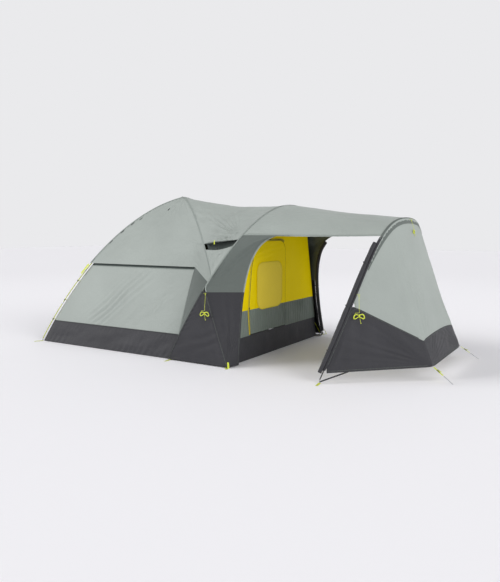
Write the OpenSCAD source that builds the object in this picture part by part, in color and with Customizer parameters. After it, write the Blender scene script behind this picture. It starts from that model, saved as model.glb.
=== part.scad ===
// Six-person dome tent: two crossed main poles, a leaning brow arch, and a free-standing
// hoop that carries an awning roof and a staked end panel.
// +X runs from the sleeping cabin towards the awning, +Z is up, and the origin is on the
// ground under the crossing of the main poles. The -Y side is called near, +Y far.

/* [Cabin] */
// Floor length along X
floor_l = 3050; // [2550:10:3660]
// Floor width along Y
floor_w = 2440; // [2050:10:2930]
// Height of the fly over the pole crossing
peak_h = 1940; // [1650:10:2250]
// Height of the dark waterproof band of the walls
band_h = 275; // [220:5:340]
// Height of the mesh vent under the fly's eave
eave_h = 1045; // [870:5:1150]
// Height of the eave vent strip
eave_vent_h = 26; // [16:1:40]
// Run of the quarter panel behind the floor's front edge
seam_back = 755; // [675:5:875]
// How far the inner front wall stands behind the floor's front edge
front_wall_in = 25; // [0:5:120]
// How far the inner front wall's foot ends short of the floor's long edges
front_wall_side = 140; // [90:5:220]

/* [Arch and hoop] */
// How far the brow arch stands behind the floor's front edge
arch_back = 830; // [725:5:925]
// How far the arch stands outside the floor's long edges
arch_out = 12; // [0:2:60]
// Height of the arch
arch_h = 1790; // [1700:5:1950]
// Forward run of the arch for each unit of height
arch_lean = 0.539; // [0.45:0.01:0.6]
// Roundness of the arch, as a superellipse exponent
arch_round = 2.3; // [2:0.05:2.6]
// How far the awning hoop stands ahead of the floor's front edge
awning_l = 1107; // [900:5:1400]
// Half span of the hoop at the ground
hoop_half = 1300; // [1150:5:1500]
// Height of the hoop
hoop_h = 1616; // [1500:5:1800]
// Forward run of the hoop for each unit of height
hoop_lean = 0.276; // [0.2:0.01:0.35]
// Height of the awning's eave
awning_eave_h = 1435; // [1400:5:1480]
// Reach of the end panel's stake corners ahead of the hoop's foot
end_reach = 921; // [760:5:1150]
// Half width between the stake corners
end_half = 611; // [500:5:750]
// Lift of the end panel's hem over the ground
end_lift = 145; // [110:5:180]

/* [Poles] */
// Diameter of the fibreglass poles
pole_d = 11; // [8.5:0.5:13]
// Diameter of the pin at a pole's tip
tip_d = 6; // [5:0.5:7]
// Wall of the ferrules, clips and tips
fitting_wall = 2; // [1.5:0.25:3]

/* [Cloth] */
// Thickness of the cloth solids
cloth_t = 3; // [2.5:0.25:4]
// Gap between cloth solids at a seam
seam_gap = 6; // [5:0.5:10]
// Distance from a pole's axis to the cloth over it
pole_to_cloth = 18; // [16:1:24]
// How far the inner mesh hangs below the fly
inner_drop = 45; // [36:1:60]
// Slack of a roof panel as a share of its span
roof_sag = 0.022; // [0:0.002:0.04]

/* [Door and window] */
// Hinge line of the D-shaped door along Y
door_hinge_y = 130; // [80:5:180]
// Half way line of the zipped edge at the door's widest
door_edge_y = -745; // [-800:5:-700]
// Height of the door's bottom over the waterproof band
door_rise = 17; // [13:1:60]
// Top of the door
door_top = 1360; // [1250:5:1400]
// Gap between the door and its frame
door_gap = 8; // [6:0.5:12]
// Corner radius of the door
door_r = 150; // [90:5:200]
// Near and far edges of the door's window
window_y = [-575, 30];
// Lower and upper edges of the window
window_z = [560, 1110];
// Width of the zip's tooth line
zip_w = 7; // [5:0.5:9]

/* [Vents] */
// Height on the main pole where the vent line starts
vent_pole_h = 1320; // [1250:5:1400]
// Height on the arch where the vent line ends
vent_arch_h = 1385; // [1300:5:1420]
// Depth of the stiffened vent hood
hood_depth = 120; // [90:5:150]
// Clear height of the vent at its strut
vent_open = 60; // [45:1:75]

/* [Webbing and hardware] */
// Width of the webbing
web_w = 25; // [18:1:30]
// Thickness of the webbing
web_t = 2; // [1.5:0.25:3]
// Radius of the eyelets that take the pegs
eyelet_r = 5; // [4:0.25:7]
// Diameter of the steel pegs
peg_d = 5; // [4:0.5:7]
// Length of the pegs' shanks
peg_l = 175; // [140:5:220]
// Length of the adjustable strap at each stake corner
strap_l = 120; // [90:5:150]

/* [Guylines] */
// Diameter of the guyline cord
cord_d = 3; // [2:0.25:4]
// Width of a guyline hank
hank_w = 128; // [100:2:160]
// Depth of a guyline hank
hank_h = 60; // [40:2:80]
// Thickness of a guyline hank
hank_t = 14; // [10:1:20]

/* [Hidden] */

// Places that follow from the floor's size
seam_x = floor_l / 2 - seam_back;
front_wall_x = floor_l / 2 - front_wall_in;
front_wall_half = floor_w / 2 - front_wall_side;
arch_x = floor_l / 2 - arch_back;
arch_half = floor_w / 2 + arch_out;
hoop_x = floor_l / 2 + awning_l;
end_x = hoop_x + end_reach;
door_bottom = band_h + door_rise;

// Colours of the cloth and hardware
light_grey = "#B0B8B2";
mid_grey = "#6C736F";
dark_grey = "#3E3F43";
mesh_grey = "#4A534F";
door_yellow = "#A5960A";
window_yellow = "#AB9937";
cord_yellow = "#C8D23C";
pole_grey = "#2A2B2D";

// ---- Vectors and grids ----
function unit(v) = v / max(norm(v), 1e-9);
function mix(a, b, u) = a + (b - a) * u;
function flip_y(p) = [p[0], -p[1], p[2]];
function bezier(p, u) = pow(1 - u, 3) * p[0] + 3 * pow(1 - u, 2) * u * p[1]
  + 3 * (1 - u) * u * u * p[2] + pow(u, 3) * p[3];
function grid(nu, nv, f) = [for (i = [0 : nu]) [for (j = [0 : nv]) f(i / nu, j / nv)]];

// ---- Main pole legs: radius and height along the diagonal, from the foot to the crossing ----
floor_r = norm([floor_l, floor_w]) / 2;
leg_dir = [floor_l, floor_w] / (2 * floor_r);
leg_shape = [[1, 0], [0.735, 0.527], [0.355, 0.912], [0, 1]];
function leg(u, drop = 0) = let (s = bezier(leg_shape, u))
  [s[0] * (floor_r - drop), s[1] * (peak_h - drop)];
function leg_u(z, lo = 0, hi = 1, n = 26) = n == 0 ? (lo + hi) / 2 :
  let (m = (lo + hi) / 2) leg(m)[1] < z ? leg_u(z, m, hi, n - 1) : leg_u(z, lo, m, n - 1);
function leg_r(z) = leg(leg_u(z))[0];
// A point over a leg: sx and sy pick the corner
function leg_point(u, sx, sy, drop = 0) = let (s = leg(u, drop))
  [sx * s[0] * leg_dir[0], sy * s[0] * leg_dir[1], s[1]];

// ---- Arch and hoop ----
function arch_point(a, drop = 0) = let (c = cos(a), z = (arch_h - drop) * pow(sin(a), 2 / arch_round))
  [arch_x + arch_lean * z, sign(c) * (arch_half - drop) * pow(abs(c), 2 / arch_round), z];
function arch_angle(z) = asin(pow(z / arch_h, arch_round / 2));
// On the near side the angle counts down from 180
function arch_at(z) = flip_y(arch_point(arch_angle(z)));
hoop_shape = [[1, 0], [0.55, 0.751], [0.734, 1], [0, 1]];
function hoop_point(u, drop = 0) = let (s = bezier(hoop_shape, 1 - abs(u)),
  z = s[1] * (hoop_h - drop)) [hoop_x + hoop_lean * z, sign(u) * s[0] * (hoop_half - drop), z];
function hoop_u(z, lo = 0, hi = 1, n = 26) = n == 0 ? (lo + hi) / 2 :
  let (m = (lo + hi) / 2) hoop_point(m)[2] > z ? hoop_u(z, m, hi, n - 1) : hoop_u(z, lo, m, n - 1);

// ---- Closed sheet of cloth through a grid of points ----
function grid_du(g, i, j) = g[min(i + 1, len(g) - 1)][j] - g[max(i - 1, 0)][j];
function grid_dv(g, i, j) = g[i][min(j + 1, len(g[0]) - 1)] - g[i][max(j - 1, 0)];
module sheet(g, t = cloth_t) {
  nu = len(g);
  nv = len(g[0]);
  skin = nu * nv;
  lift = [for (i = [0 : nu - 1]) for (j = [0 : nv - 1])
    unit(cross(grid_du(g, i, j), grid_dv(g, i, j))) * t / 2];
  flat = [for (i = [0 : nu - 1]) for (j = [0 : nv - 1]) g[i][j]];
  edge = concat([for (i = [0 : nu - 2]) i * nv], [for (j = [0 : nv - 2]) (nu - 1) * nv + j],
    [for (i = [nu - 1 : -1 : 1]) i * nv + nv - 1], [for (j = [nv - 1 : -1 : 1]) j]);
  faces = concat(
    [for (i = [0 : nu - 2]) for (j = [0 : nv - 2]) let (a = i * nv + j)
      each [[a, a + 1, a + nv + 1], [a, a + nv + 1, a + nv]]],
    [for (i = [0 : nu - 2]) for (j = [0 : nv - 2]) let (a = skin + i * nv + j)
      each [[a, a + nv + 1, a + 1], [a, a + nv, a + nv + 1]]],
    [for (k = [0 : len(edge) - 1]) let (a = edge[k], b = edge[(k + 1) % len(edge)])
      each [[a, b, skin + b], [a, skin + b, skin + a]]]);
  polyhedron(concat(flat + lift, flat - lift), faces);
}

// ---- Round bar swept along points; side is a direction that no stretch runs along ----
module bar(points, d, side, sides = 8) {
  n = len(points);
  rings = [for (k = [0 : n - 1]) let (t = unit(points[min(k + 1, n - 1)] - points[max(k - 1, 0)]),
    a = unit(cross(t, side)), b = cross(t, a))
    for (m = [0 : sides - 1]) points[k] + (a * cos(360 * m / sides) + b * sin(360 * m / sides)) * d / 2];
  faces = concat(
    [[for (m = [sides - 1 : -1 : 0]) m]],
    [for (k = [0 : n - 2]) for (m = [0 : sides - 1]) let (a = k * sides + m, b = k * sides + (m + 1) % sides)
      each [[a, b, b + sides], [a, b + sides, a + sides]]],
    [[for (m = [0 : sides - 1]) (n - 1) * sides + m]]);
  polyhedron(rings, [for (f = faces) [for (m = [len(f) - 1 : -1 : 0]) f[m]]]);
}

// Turns +Z to a direction and moves to a point
module at(p, dir) {
  d = unit(dir);
  translate(p) rotate([0, acos(d[2]), atan2(d[1], d[0])]) children();
}

// A flat strap between two points, its face towards up
module strap(p, q, w = web_w, t = web_t, up = [0, 0, 1]) {
  d = unit(q - p);
  a = unit(cross(up, d));
  b = cross(d, a);
  multmatrix([[d[0], a[0], b[0], p[0]], [d[1], a[1], b[1], p[1]], [d[2], a[2], b[2], p[2]], [0, 0, 0, 1]])
    translate([0, -w / 2, -t / 2]) cube([norm(q - p), w, t]);
}

module mirrored() {
  children();
  mirror([0, 1, 0]) children();
}

// ---- Walls of the cabin ----
wall_drop = 34;
clip_gap = 62;
function wall_r(z) = leg_r(z) - wall_drop;
band_edge = band_h - seam_gap / 2;
wall_foot = band_h + seam_gap / 2;
wall_top = eave_h - eave_vent_h - seam_gap / 2;
// The seam stands upright, and bends back to the arch's foot near the ground
function seam_line(z) = min(seam_x, arch_x - 30 + arch_lean * z);
roof_foot = eave_h + seam_gap;
// A point of the near side wall, f across it from the rear leg to the seam
function side_point(f, z) = [mix(-(leg_r(z) - clip_gap) * leg_dir[0], seam_line(z) - seam_gap, f),
  -wall_r(z) * leg_dir[1], z];
function rear_point(f, z) = [-wall_r(z) * leg_dir[0],
  mix(-1, 1, f) * (leg_r(z) - clip_gap) * leg_dir[1], z];

floor_inset = 26;
module groundsheet() color(dark_grey) linear_extrude(cloth_t) offset(delta = -floor_inset) polygon([
  [-wall_r(0) * leg_dir[0], -wall_r(0) * leg_dir[1]], [seam_x, -wall_r(0) * leg_dir[1]],
  [front_wall_x + floor_inset, -front_wall_half], [front_wall_x + floor_inset, front_wall_half],
  [seam_x, wall_r(0) * leg_dir[1]], [-wall_r(0) * leg_dir[0], wall_r(0) * leg_dir[1]]]);

// The band is sewn round the cabin: both sides, the rear and the front
band_foot = cloth_t + seam_gap / 2;
module bathtub() color(dark_grey) {
  mirrored() sheet(grid(6, 2, function (u, v) side_point(u, mix(band_foot, band_edge, v))));
  sheet(grid(6, 2, function (u, v) rear_point(u, mix(band_foot, band_edge, v))));
  in_wall() wall_outline(band_foot, band_edge);
}

module side_wall() color(light_grey)
  sheet(grid(8, 6, function (u, v) side_point(u, mix(wall_foot, wall_top, v))));
module side_wall_near() side_wall();
module side_wall_far() mirror([0, 1, 0]) side_wall();
module rear_wall() color(light_grey)
  sheet(grid(8, 6, function (u, v) rear_point(u, mix(wall_foot, wall_top, v))));

module eave_mesh() color(mesh_grey) {
  low = wall_top + seam_gap / 2;
  high = eave_h;
  mirrored() sheet(grid(8, 1, function (u, v) side_point(u, mix(low, high, v))));
  sheet(grid(8, 1, function (u, v) rear_point(u, mix(low, high, v))));
}

// ---- Roof over the main poles ----
top_u = leg_u(peak_h - 4);
foot_u = leg_u(roof_foot);
tail_u = leg_u(eave_h - 235);
tail_start = seam_x / (leg_r(roof_foot) * leg_dir[0]);
// The slack fades out at the hem
function slack(r, u, v) = -roof_sag * r * (1 - pow(2 * u - 1, 2)) * min(1, 3 * v);
module roof_side() color(light_grey) sheet(grid(12, 10, function (u, v)
  let (f = 2 * u - 1, low = f > tail_start ? mix(foot_u, tail_u, (f - tail_start) / (1 - tail_start)) : foot_u,
    s = leg(mix(low, top_u, v)), half = s[0] * leg_dir[0] - seam_gap * 0.7, sag = slack(s[0], u, v))
  [f * half, -s[0] * leg_dir[1] - sag, s[1] + sag * 0.6]));
module roof_near() roof_side();
module roof_far() mirror([0, 1, 0]) roof_side();
module roof_rear() color(light_grey) sheet(grid(10, 9, function (u, v)
  let (s = leg(mix(foot_u, top_u, v)), half = s[0] * leg_dir[1] - seam_gap * 0.7, sag = slack(s[0], u, v))
  [-s[0] * leg_dir[0] - sag, mix(half, -half, u), s[1] + sag * 0.6]));

// The saddle between the front legs and the arch: s from the ridge (0) to a side (1)
vent_u = leg_u(vent_pole_h);
vent_a = arch_angle(vent_arch_h);
cross_u = leg_u(eave_h - 195);
cross_a = arch_angle(eave_h - 235);
ridge_sag = 62;
function front_leg(u) = leg_point(u, 1, -1) + [seam_gap * 0.7, 0, 0];
function saddle(s, v, side) = let (w = abs(s),
    a = front_leg(mix(top_u, vent_u, w)), p = s == 0 ? [a[0], 0, a[2]] : a,
    q = flip_y(arch_point(mix(90, vent_a, w))) - [seam_gap * 0.8, 0, 0],
    b = mix(p, q, v), sag = ridge_sag * 4 * v * (1 - v) * (1 - w * w))
  [b[0], side * b[1], b[2] - sag];
module roof_front() color(light_grey) sheet(grid(16, 8, function (u, v)
  let (s = 2 * u - 1) saddle(s, v, s < 0 ? 1 : -1)));

gusset_start = 0.13;
function gusset_point(u, v) = mix(front_leg(mix(vent_u, cross_u, u)),
  flip_y(arch_point(mix(vent_a, cross_a, u))) - [seam_gap * 0.8, 0, 0], v);
module gusset() color(mid_grey)
  sheet(grid(6, 5, function (u, v) gusset_point(mix(gusset_start, 1, u), v)));
module gusset_near() gusset();
module gusset_far() mirror([0, 1, 0]) gusset();

// Vent: the hood is an eyebrow that hinges on the roof's edge, with a strut below it
vent_p = gusset_point(0, 0.1);
vent_q = gusset_point(0, 0.9);
vent_axis = unit(vent_q - vent_p);
vent_down = unit(gusset_point(1, 0.5) - gusset_point(0, 0.5));
vent_out = unit(cross(vent_down, vent_axis));
hood_tilt = 27;
hood_hinge = 14;
function hood_point(u, v) = mix(vent_p, vent_q, u) + vent_out * (hood_hinge + v * hood_depth * sin(hood_tilt)
  * (0.35 + 2.6 * u * (1 - u))) + vent_down * (8 + v * hood_depth * cos(hood_tilt) * (0.35 + 2.6 * u * (1 - u)));
module hood() color(light_grey) sheet(grid(6, 3, function (u, v) hood_point(u, v)));
module hood_near() hood();
module hood_far() mirror([0, 1, 0]) hood();

// The strut stands on the gusset and reaches up under the hood
strut_seat = 22;
strut_reach = 34;
strut_root = mix(vent_p, vent_q, 0.5) + vent_down * (vent_open + 42) + vent_out * strut_seat;
strut_tip = mix(vent_p, vent_q, 0.5) + vent_down * (vent_open + 4) + vent_out * strut_reach;
module vent_strut() color(pole_grey) {
  at(strut_root, vent_axis) translate([0, 0, -9]) cylinder(h = 18, d = 7, $fn = 24);
  bar([for (k = [0 : 4]) mix(strut_root, strut_tip, k / 4) + vent_out * 1.5 * sin(45 * k)
    - unit(strut_root - strut_tip) * 5 * (1 - k / 4)], 5, vent_axis);
}
module vent_struts_near() vent_strut();
module vent_struts_far() mirror([0, 1, 0]) vent_strut();

module vent_mesh() color(mesh_grey) mirrored() sheet(grid(5, 2, function (u, v)
  gusset_point(mix(-0.04, gusset_start + 0.08, v), mix(0.06, 0.94, u)) - vent_out * 22));

// ---- Fly below the eave ----
hem_z = 14;
function seam_edge(z) = [seam_line(z), -wall_r(z) * leg_dir[1] - 9, z];
function arch_edge(z) = arch_at(max(z, 2));
quarter_top_seam = eave_h - 72;
quarter_top_arch = eave_h - 250;
module quarter() color(mid_grey) sheet(grid(4, 8, function (u, v)
  let (a = seam_edge(mix(hem_z, quarter_top_seam, v)), b = arch_edge(mix(hem_z, quarter_top_arch, v)))
  mix(a, b - [seam_gap, 0, 0], u)));
module quarter_near() quarter();
module quarter_far() mirror([0, 1, 0]) quarter();

// The ridge runs from the front corner up to the arch, over the main pole's leg
ridge_top = eave_h - 195;
front_corner = [floor_l / 2 + 12, -floor_w / 2 - 18, 0];
function ridge(z) = mix(front_corner, arch_edge(ridge_top), z / ridge_top);
module corner_panel() color(dark_grey) sheet(grid(5, 8, function (u, v)
  let (z = mix(hem_z, wing_split, v)) mix(arch_edge(z) + [seam_gap, 0, 0],
    ridge(z) - [seam_gap, 0, 0] * (z < ridge_top - 60 ? 1 : 0.5), u)));
module corner_near() corner_panel();
module corner_far() mirror([0, 1, 0]) corner_panel();

door_edge = [for (p = [[50, 130, 0], [-3, 288, 664], [-81, 416, 1503], [525, 420, 1430]])
  [floor_l / 2 + p[0], p[1] - floor_w / 2, p[2]]];
function edge_u(z, lo = 0, hi = 0.86, n = 20) = n == 0 ? (lo + hi) / 2 :
  let (m = (lo + hi) / 2) bezier(door_edge, m)[2] < z ? edge_u(z, m, hi, n - 1) : edge_u(z, lo, m, n - 1);
function wing_root(z) = z < ridge_top ? ridge(z) + [4, 0, 0] : arch_edge(z) + [seam_gap, 0, 0];
function wing_point(u, v, low, high) = let (z = mix(low, high, v))
  mix(wing_root(z), bezier(door_edge, edge_u(z)), u);
wing_split = ridge_top - 50;
wing_top = awning_eave_h - 30;
module wing_lower() color(dark_grey)
  sheet(grid(6, 7, function (u, v) wing_point(u, v, hem_z, wing_split - seam_gap / 2)));
module wing_upper() color(mid_grey)
  sheet(grid(6, 8, function (u, v) wing_point(u, v, wing_split + seam_gap / 2, wing_top)));
module wing_near_lower() wing_lower();
module wing_near_upper() wing_upper();
module wing_far_lower() mirror([0, 1, 0]) wing_lower();
module wing_far_upper() mirror([0, 1, 0]) wing_upper();

// ---- Awning ----
awning_a = arch_angle(awning_eave_h);
awning_h = hoop_u(awning_eave_h - 10);
module awning_roof() color(light_grey) sheet(grid(16, 9, function (u, v)
  let (s = 2 * u - 1, side = s < 0 ? -1 : 1, q = arch_point(mix(90, awning_a, abs(s))),
    a = [q[0] + seam_gap, side * abs(q[1]), q[2]],
    h = hoop_point(side * abs(s) * awning_h), b = h - [pole_to_cloth + 10, 0, 0],
    c = mix(a, b, v)) [c[0], c[1], c[2] - 10 * 4 * v * (1 - v)]));

module hoop_sleeve() color(mid_grey) sheet(grid(28, 6, function (u, v)
  let (s = mix(-1, 1, u) * (awning_h + 0.03), p = hoop_point(s), t = unit(hoop_point(s + 0.01) - hoop_point(s - 0.01)),
    a = unit(cross([1, 0, hoop_lean * -1], t)), n = cross(t, a), w = mix(-120, 120, v))
  p + (a * cos(w) + n * sin(w)) * (pole_d / 2 + 5)), 2);

// ---- End panel: a fan from the hoop down to the staked hem ----
end_foot_u = hoop_u(150);
end_dark_u = hoop_u(740);
crease_near_u = -0.35;
crease_far_u = 0.42;
crease_top_h = 1440;
crease_split = 0.81;
end_off = [pole_d / 2 + 9, 0, 0];
function hem_corner(side) = [end_x, side * end_half, end_lift];
function hem_start(side) = hoop_point(side * hoop_u(105)) + end_off + [22, 0, 0];
// Columns q: 0 near leg, 1 near crease, 2 far crease, 3 far leg
function end_top(q) = q < 1 ? hoop_point(mix(-end_foot_u, crease_near_u, q)) + end_off
  : q < 2 ? hoop_point(mix(crease_near_u, crease_far_u, q - 1)) + end_off
  : hoop_point(mix(crease_far_u, end_foot_u, q - 2)) + end_off;
function end_hem(q) = q < 1 ? mix(hem_start(-1), hem_corner(-1), q)
  : q < 2 ? mix(hem_corner(-1), hem_corner(1), q - 1) : mix(hem_corner(1), hem_start(1), q - 2);
near_dark_q = (end_foot_u - end_dark_u) / (end_foot_u + crease_near_u);
far_dark_q = 3 - (end_foot_u - end_dark_u) / (end_foot_u - crease_far_u);
// Where a column crosses the straight edge of the dark cloth: from the leg to the crease
function edge_share(q, leg_q, crease_q, out) = let (a = end_top(leg_q),
  n = cross(mix(end_top(crease_q), end_hem(crease_q), crease_split) - a, out))
  max(0, (a - end_top(q)) * n / ((end_hem(q) - end_top(q)) * n));
function end_split(q) = q <= near_dark_q || q >= far_dark_q ? 0
  : q < 1 ? edge_share(q, near_dark_q, 1, [0.5, -0.86, 0])
  : q <= 2 ? crease_split : edge_share(q, far_dark_q, 2, [0.5, 0.86, 0]);
module end_panel_upper() color(light_grey) sheet(grid(24, 8, function (u, v)
  let (q = mix(near_dark_q + 0.04, far_dark_q - 0.04, u))
  mix(end_top(q), end_hem(q), mix(0.004, end_split(q) - 0.004, v))));
module end_panel_lower() color(dark_grey) sheet(grid(26, 5, function (u, v)
  let (q = mix(0, 3, u)) mix(end_top(q), end_hem(q), mix(max(end_split(q) + 0.004, 0.004), 1, v))));

// ---- Rolled doors ----
roll_d = 62;
roll_clear = 11;
module rolled_door_near() color(dark_grey) bar([for (k = [0 : 12])
  hoop_point(-mix(hoop_u(120), hoop_u(1330), k / 12))
  + (roll_d / 2 + roll_clear) * [-0.78, -0.62, 0]], roll_d, [1, 0, 0.3], 10);
module rolled_door_far() color(dark_grey) bar([for (k = [0 : 12])
  flip_y(bezier(door_edge, edge_u(mix(90, 1330, k / 12)))) + [roll_d * 0.5 + 4, 14, 0]],
  roll_d * 0.86, [1, 0.2, 0], 10);

// ---- Inner tent ----
function canopy_half(s, k) = (s[0] - inner_drop * 1.4) * leg_dir[k] - 8;
canopy_cap = 62;
canopy_cap_z = peak_h - 76;
lantern_top = canopy_cap_z - 9;
module inner_canopy() color(mesh_grey) {
  low = leg_u(eave_h + 30);
  high = leg_u(peak_h - inner_drop * 1.1);
  sheet(grid(6, 7, function (u, v) let (s = leg(mix(low, high, v)))
    [-(s[0] - inner_drop) * leg_dir[0], mix(1, -1, u) * canopy_half(s, 1), s[1] - inner_drop * 0.9]));
  mirrored() sheet(grid(6, 7, function (u, v) let (s = leg(mix(low, high, v)))
    [mix(-1, 1, u) * canopy_half(s, 0), -(s[0] - inner_drop) * leg_dir[1], s[1] - inner_drop * 0.9]));
  // The cap at the crown, with the tab that carries the lantern ring
  translate([-canopy_cap, -canopy_cap, canopy_cap_z]) cube([2 * canopy_cap, 2 * canopy_cap, cloth_t]);
  translate([-web_w / 4, -web_t / 2, lantern_top + 0.6]) cube([web_w / 2, web_t, canopy_cap_z - lantern_top]);
}

// Below the eave this wall starts at the seam and bows in past the main pole's leg; above it,
// it starts inside the leg
side_bow = 70;
function inner_rear(z) = z < wall_top
  ? [seam_x + 26, -(leg_r(z) - inner_drop - 12) * leg_dir[1], z]
  : [leg_r(z) * leg_dir[0] + 12, -leg_r(z) * leg_dir[1] + inner_drop + 10, z];
module inner_side_walls() color(mesh_grey) mirrored() sheet(grid(6, 10, function (u, v)
  let (z = mix(band_foot, 1270, v), front = [front_wall_x - cloth_t / 2 - seam_gap, -wall_half(z), z],
    bow = z < wall_top ? side_bow * pow(z / wall_top, 2) * sin(180 * u) : 0)
  mix(inner_rear(z), front, u) + [0, bow, 0]));

// Outline of the wall from edge to edge, and of the door, in the plane of the wall (y, z)
wall_top_h = 1640;
function wall_half(z) = mix(front_wall_half - seam_gap, front_wall_half - 330, z / awning_eave_h);
module wall_outline(low, high) polygon(concat(
  [[-wall_half(low), low], [wall_half(low), low]],
  high <= awning_eave_h ? [[wall_half(high), high], [-wall_half(high), high]]
    : [for (k = [0 : 12]) let (a = 180 * k / 12)
      [wall_half(awning_eave_h - 60) * cos(a), awning_eave_h - 60 + (high - awning_eave_h + 60) * sin(a)]]));
module door_outline(grow = 0) offset(r = door_r + grow, $fn = 48) offset(delta = -door_r)
  polygon([[door_hinge_y, door_bottom], [door_hinge_y, door_top], [door_edge_y + 170, door_top],
    [door_edge_y + 60, 1040], [door_edge_y, 560], [door_edge_y + 30, door_bottom]]);
module in_wall(x = front_wall_x, t = cloth_t) translate([x - t / 2, 0, 0])
  multmatrix([[0, 0, 1, 0], [1, 0, 0, 0], [0, 1, 0, 0], [0, 0, 0, 1]]) linear_extrude(t) children();
skirt_top = 575;
module front_wall() color(door_yellow) in_wall() difference() {
  wall_outline(skirt_top + seam_gap / 2, wall_top_h);
  door_outline(door_gap);
}
module front_skirt() color(mid_grey) in_wall() difference() {
  wall_outline(wall_foot, skirt_top - seam_gap / 2);
  door_outline(door_gap);
}
module window_outline(grow = 0) translate([window_y[0] - grow, window_z[0] - grow])
  square([window_y[1] - window_y[0] + 2 * grow, window_z[1] - window_z[0] + 2 * grow]);
module door_panel() color(door_yellow) in_wall() difference() {
  door_outline();
  window_outline(seam_gap / 2);
}
module door_window() color(window_yellow) in_wall() window_outline();
module door_zip() color(pole_grey) in_wall(front_wall_x + cloth_t + 2) difference() {
  door_outline(door_gap + zip_w + 3);
  door_outline(door_gap + 3);
  translate([door_hinge_y - 40, 0]) square([400, 3000]);
}
slider_z = 600;
slider_travel = 330;
function zip_y(z) = mix(door_edge_y, door_edge_y + 60, (z - 560) / 480) - door_gap - 3 - zip_w / 2;
module zip_slider() color(pole_grey) translate([front_wall_x + cloth_t * 1.5 + 4, zip_y(slider_z), slider_z])
  rotate([7, 0, 0]) {
    translate([0, -7, -9]) cube([5, 14, 18]);
    translate([5.5, -3, -42]) cube([2, 6, 40]);
    translate([0, -2, -4]) cube([7.5, 4, 4]);
  }

// ---- Poles ----
pole_foot_z = 34;
cross_drop = pole_d + 2;
function pole_leg(sx, sy, drop, n = 18) = [for (k = [0 : n]) let (u = mix(leg_u(pole_foot_z), 1, k / n))
  leg_point(u, sx, sy, drop)];
function reversed(a) = [for (k = [len(a) - 1 : -1 : 0]) a[k]];
function tail(a) = [for (k = [1 : len(a) - 1]) a[k]];
main_drop = pole_to_cloth;
module main_pole_1() color(pole_grey) bar(concat(pole_leg(-1, -1, main_drop),
  tail(reversed(pole_leg(1, 1, main_drop)))), pole_d, [leg_dir[1], -leg_dir[0], 0]);
module main_pole_2() color(pole_grey) bar(concat(pole_leg(-1, 1, main_drop + cross_drop),
  tail(reversed(pole_leg(1, -1, main_drop + cross_drop)))), pole_d, [leg_dir[1], leg_dir[0], 0]);
arch_start = asin(pow(pole_foot_z / arch_h, arch_round / 2));
// The arch pole sits in the corner between the cloth behind it and the cloth ahead of it
arch_inset = [pole_to_cloth * 0.7, 0, 0];
function arch_axis(a) = arch_point(a, pole_to_cloth * 1.25) + arch_inset;
module arch_pole() color(pole_grey) bar([for (k = [0 : 30])
  arch_axis(mix(arch_start, 180 - arch_start, k / 30))], pole_d, unit([1, 0, -arch_lean]));
hoop_end_u = hoop_u(pole_foot_z);
module hoop_pole() color(pole_grey) bar([for (k = [0 : 30])
  hoop_point(mix(-hoop_end_u, hoop_end_u, k / 30))], pole_d, unit([1, 0, -hoop_lean]));

fit_d = pole_d + 2.4;
module ring_at(p, dir, length, wall = fitting_wall) at(p, dir) translate([0, 0, -length / 2]) difference() {
  cylinder(h = length, d = fit_d + 2 * wall, $fn = 24);
  translate([0, 0, -1]) cylinder(h = length + 2, d = fit_d, $fn = 24);
}
module leg_ring(z, sx, sy, drop, length, wall = fitting_wall) {
  u = leg_u(z);
  ring_at(leg_point(u, sx, sy, drop), leg_point(u + 0.01, sx, sy, drop) - leg_point(u - 0.01, sx, sy, drop),
    length, wall);
}
module pole_ferrules() color("silver") {
  for (z = [520, 960]) {
    for (sy = [-1, 1]) {
      leg_ring(z, -1, sy, main_drop + (sy > 0 ? cross_drop : 0), 30, 0.8);
      leg_ring(z, 1, sy, main_drop + (sy < 0 ? cross_drop : 0), 30, 0.8);
    }
  }
  mirrored() for (z = [420, 980]) {
    u = hoop_u(z);
    ring_at(hoop_point(u), hoop_point(u + 0.005) - hoop_point(u - 0.005), 30, 0.8);
  }
}

// A tip plugs a pole's foot and stands on its tab with a pin
tip_h = pole_foot_z - web_t - 6;
module tip_at(p) {
  translate([p[0], p[1], web_t + 6]) cylinder(h = tip_h - 7, d1 = tip_d + 3, d2 = pole_d + 1, $fn = 24);
  translate([p[0], p[1], web_t + 1]) cylinder(h = 6, d = tip_d, $fn = 24);
}
function leg_foot(sx, sy, drop) = leg_point(leg_u(pole_foot_z), sx, sy, drop);
arch_foot = arch_axis(arch_start);
hoop_foot = hoop_point(hoop_end_u);
feet = [leg_foot(-1, -1, main_drop), leg_foot(1, 1, main_drop), leg_foot(-1, 1, main_drop + cross_drop),
  leg_foot(1, -1, main_drop + cross_drop), arch_foot, flip_y(arch_foot), hoop_foot, flip_y(hoop_foot)];
module pole_tips() color("dimgray") for (p = feet) tip_at(p);

// Tabs at the feet: the tip's pin stands on the inner end, the peg eyelet is outboard
tab_l = 112;
eyelet_run = 90;
function tab_dir(p) = unit([sign(p[0]) * (p[0] > 2000 ? 0.15 : abs(p[0]) > 1000 ? 0.6 : 0.02), sign(p[1]) * 1, 0]);
function eyelet_pos(p) = [p[0], p[1], web_t / 2] + tab_dir(p) * eyelet_run;
module corner_tabs() color(cord_yellow) for (p = feet) difference() {
  strap([p[0], p[1], web_t / 2] - tab_dir(p) * 4, [p[0], p[1], web_t / 2] + tab_dir(p) * tab_l);
  translate(eyelet_pos(p) - [0, 0, web_t]) cylinder(h = 2 * web_t, r = eyelet_r, $fn = 32);
}

module pole_clips() color(pole_grey) for (z = [300, 560, 820]) for (sy = [-1, 1]) {
  leg_ring(z, -1, sy, main_drop + (sy > 0 ? cross_drop : 0), 16, 3);
}

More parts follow.
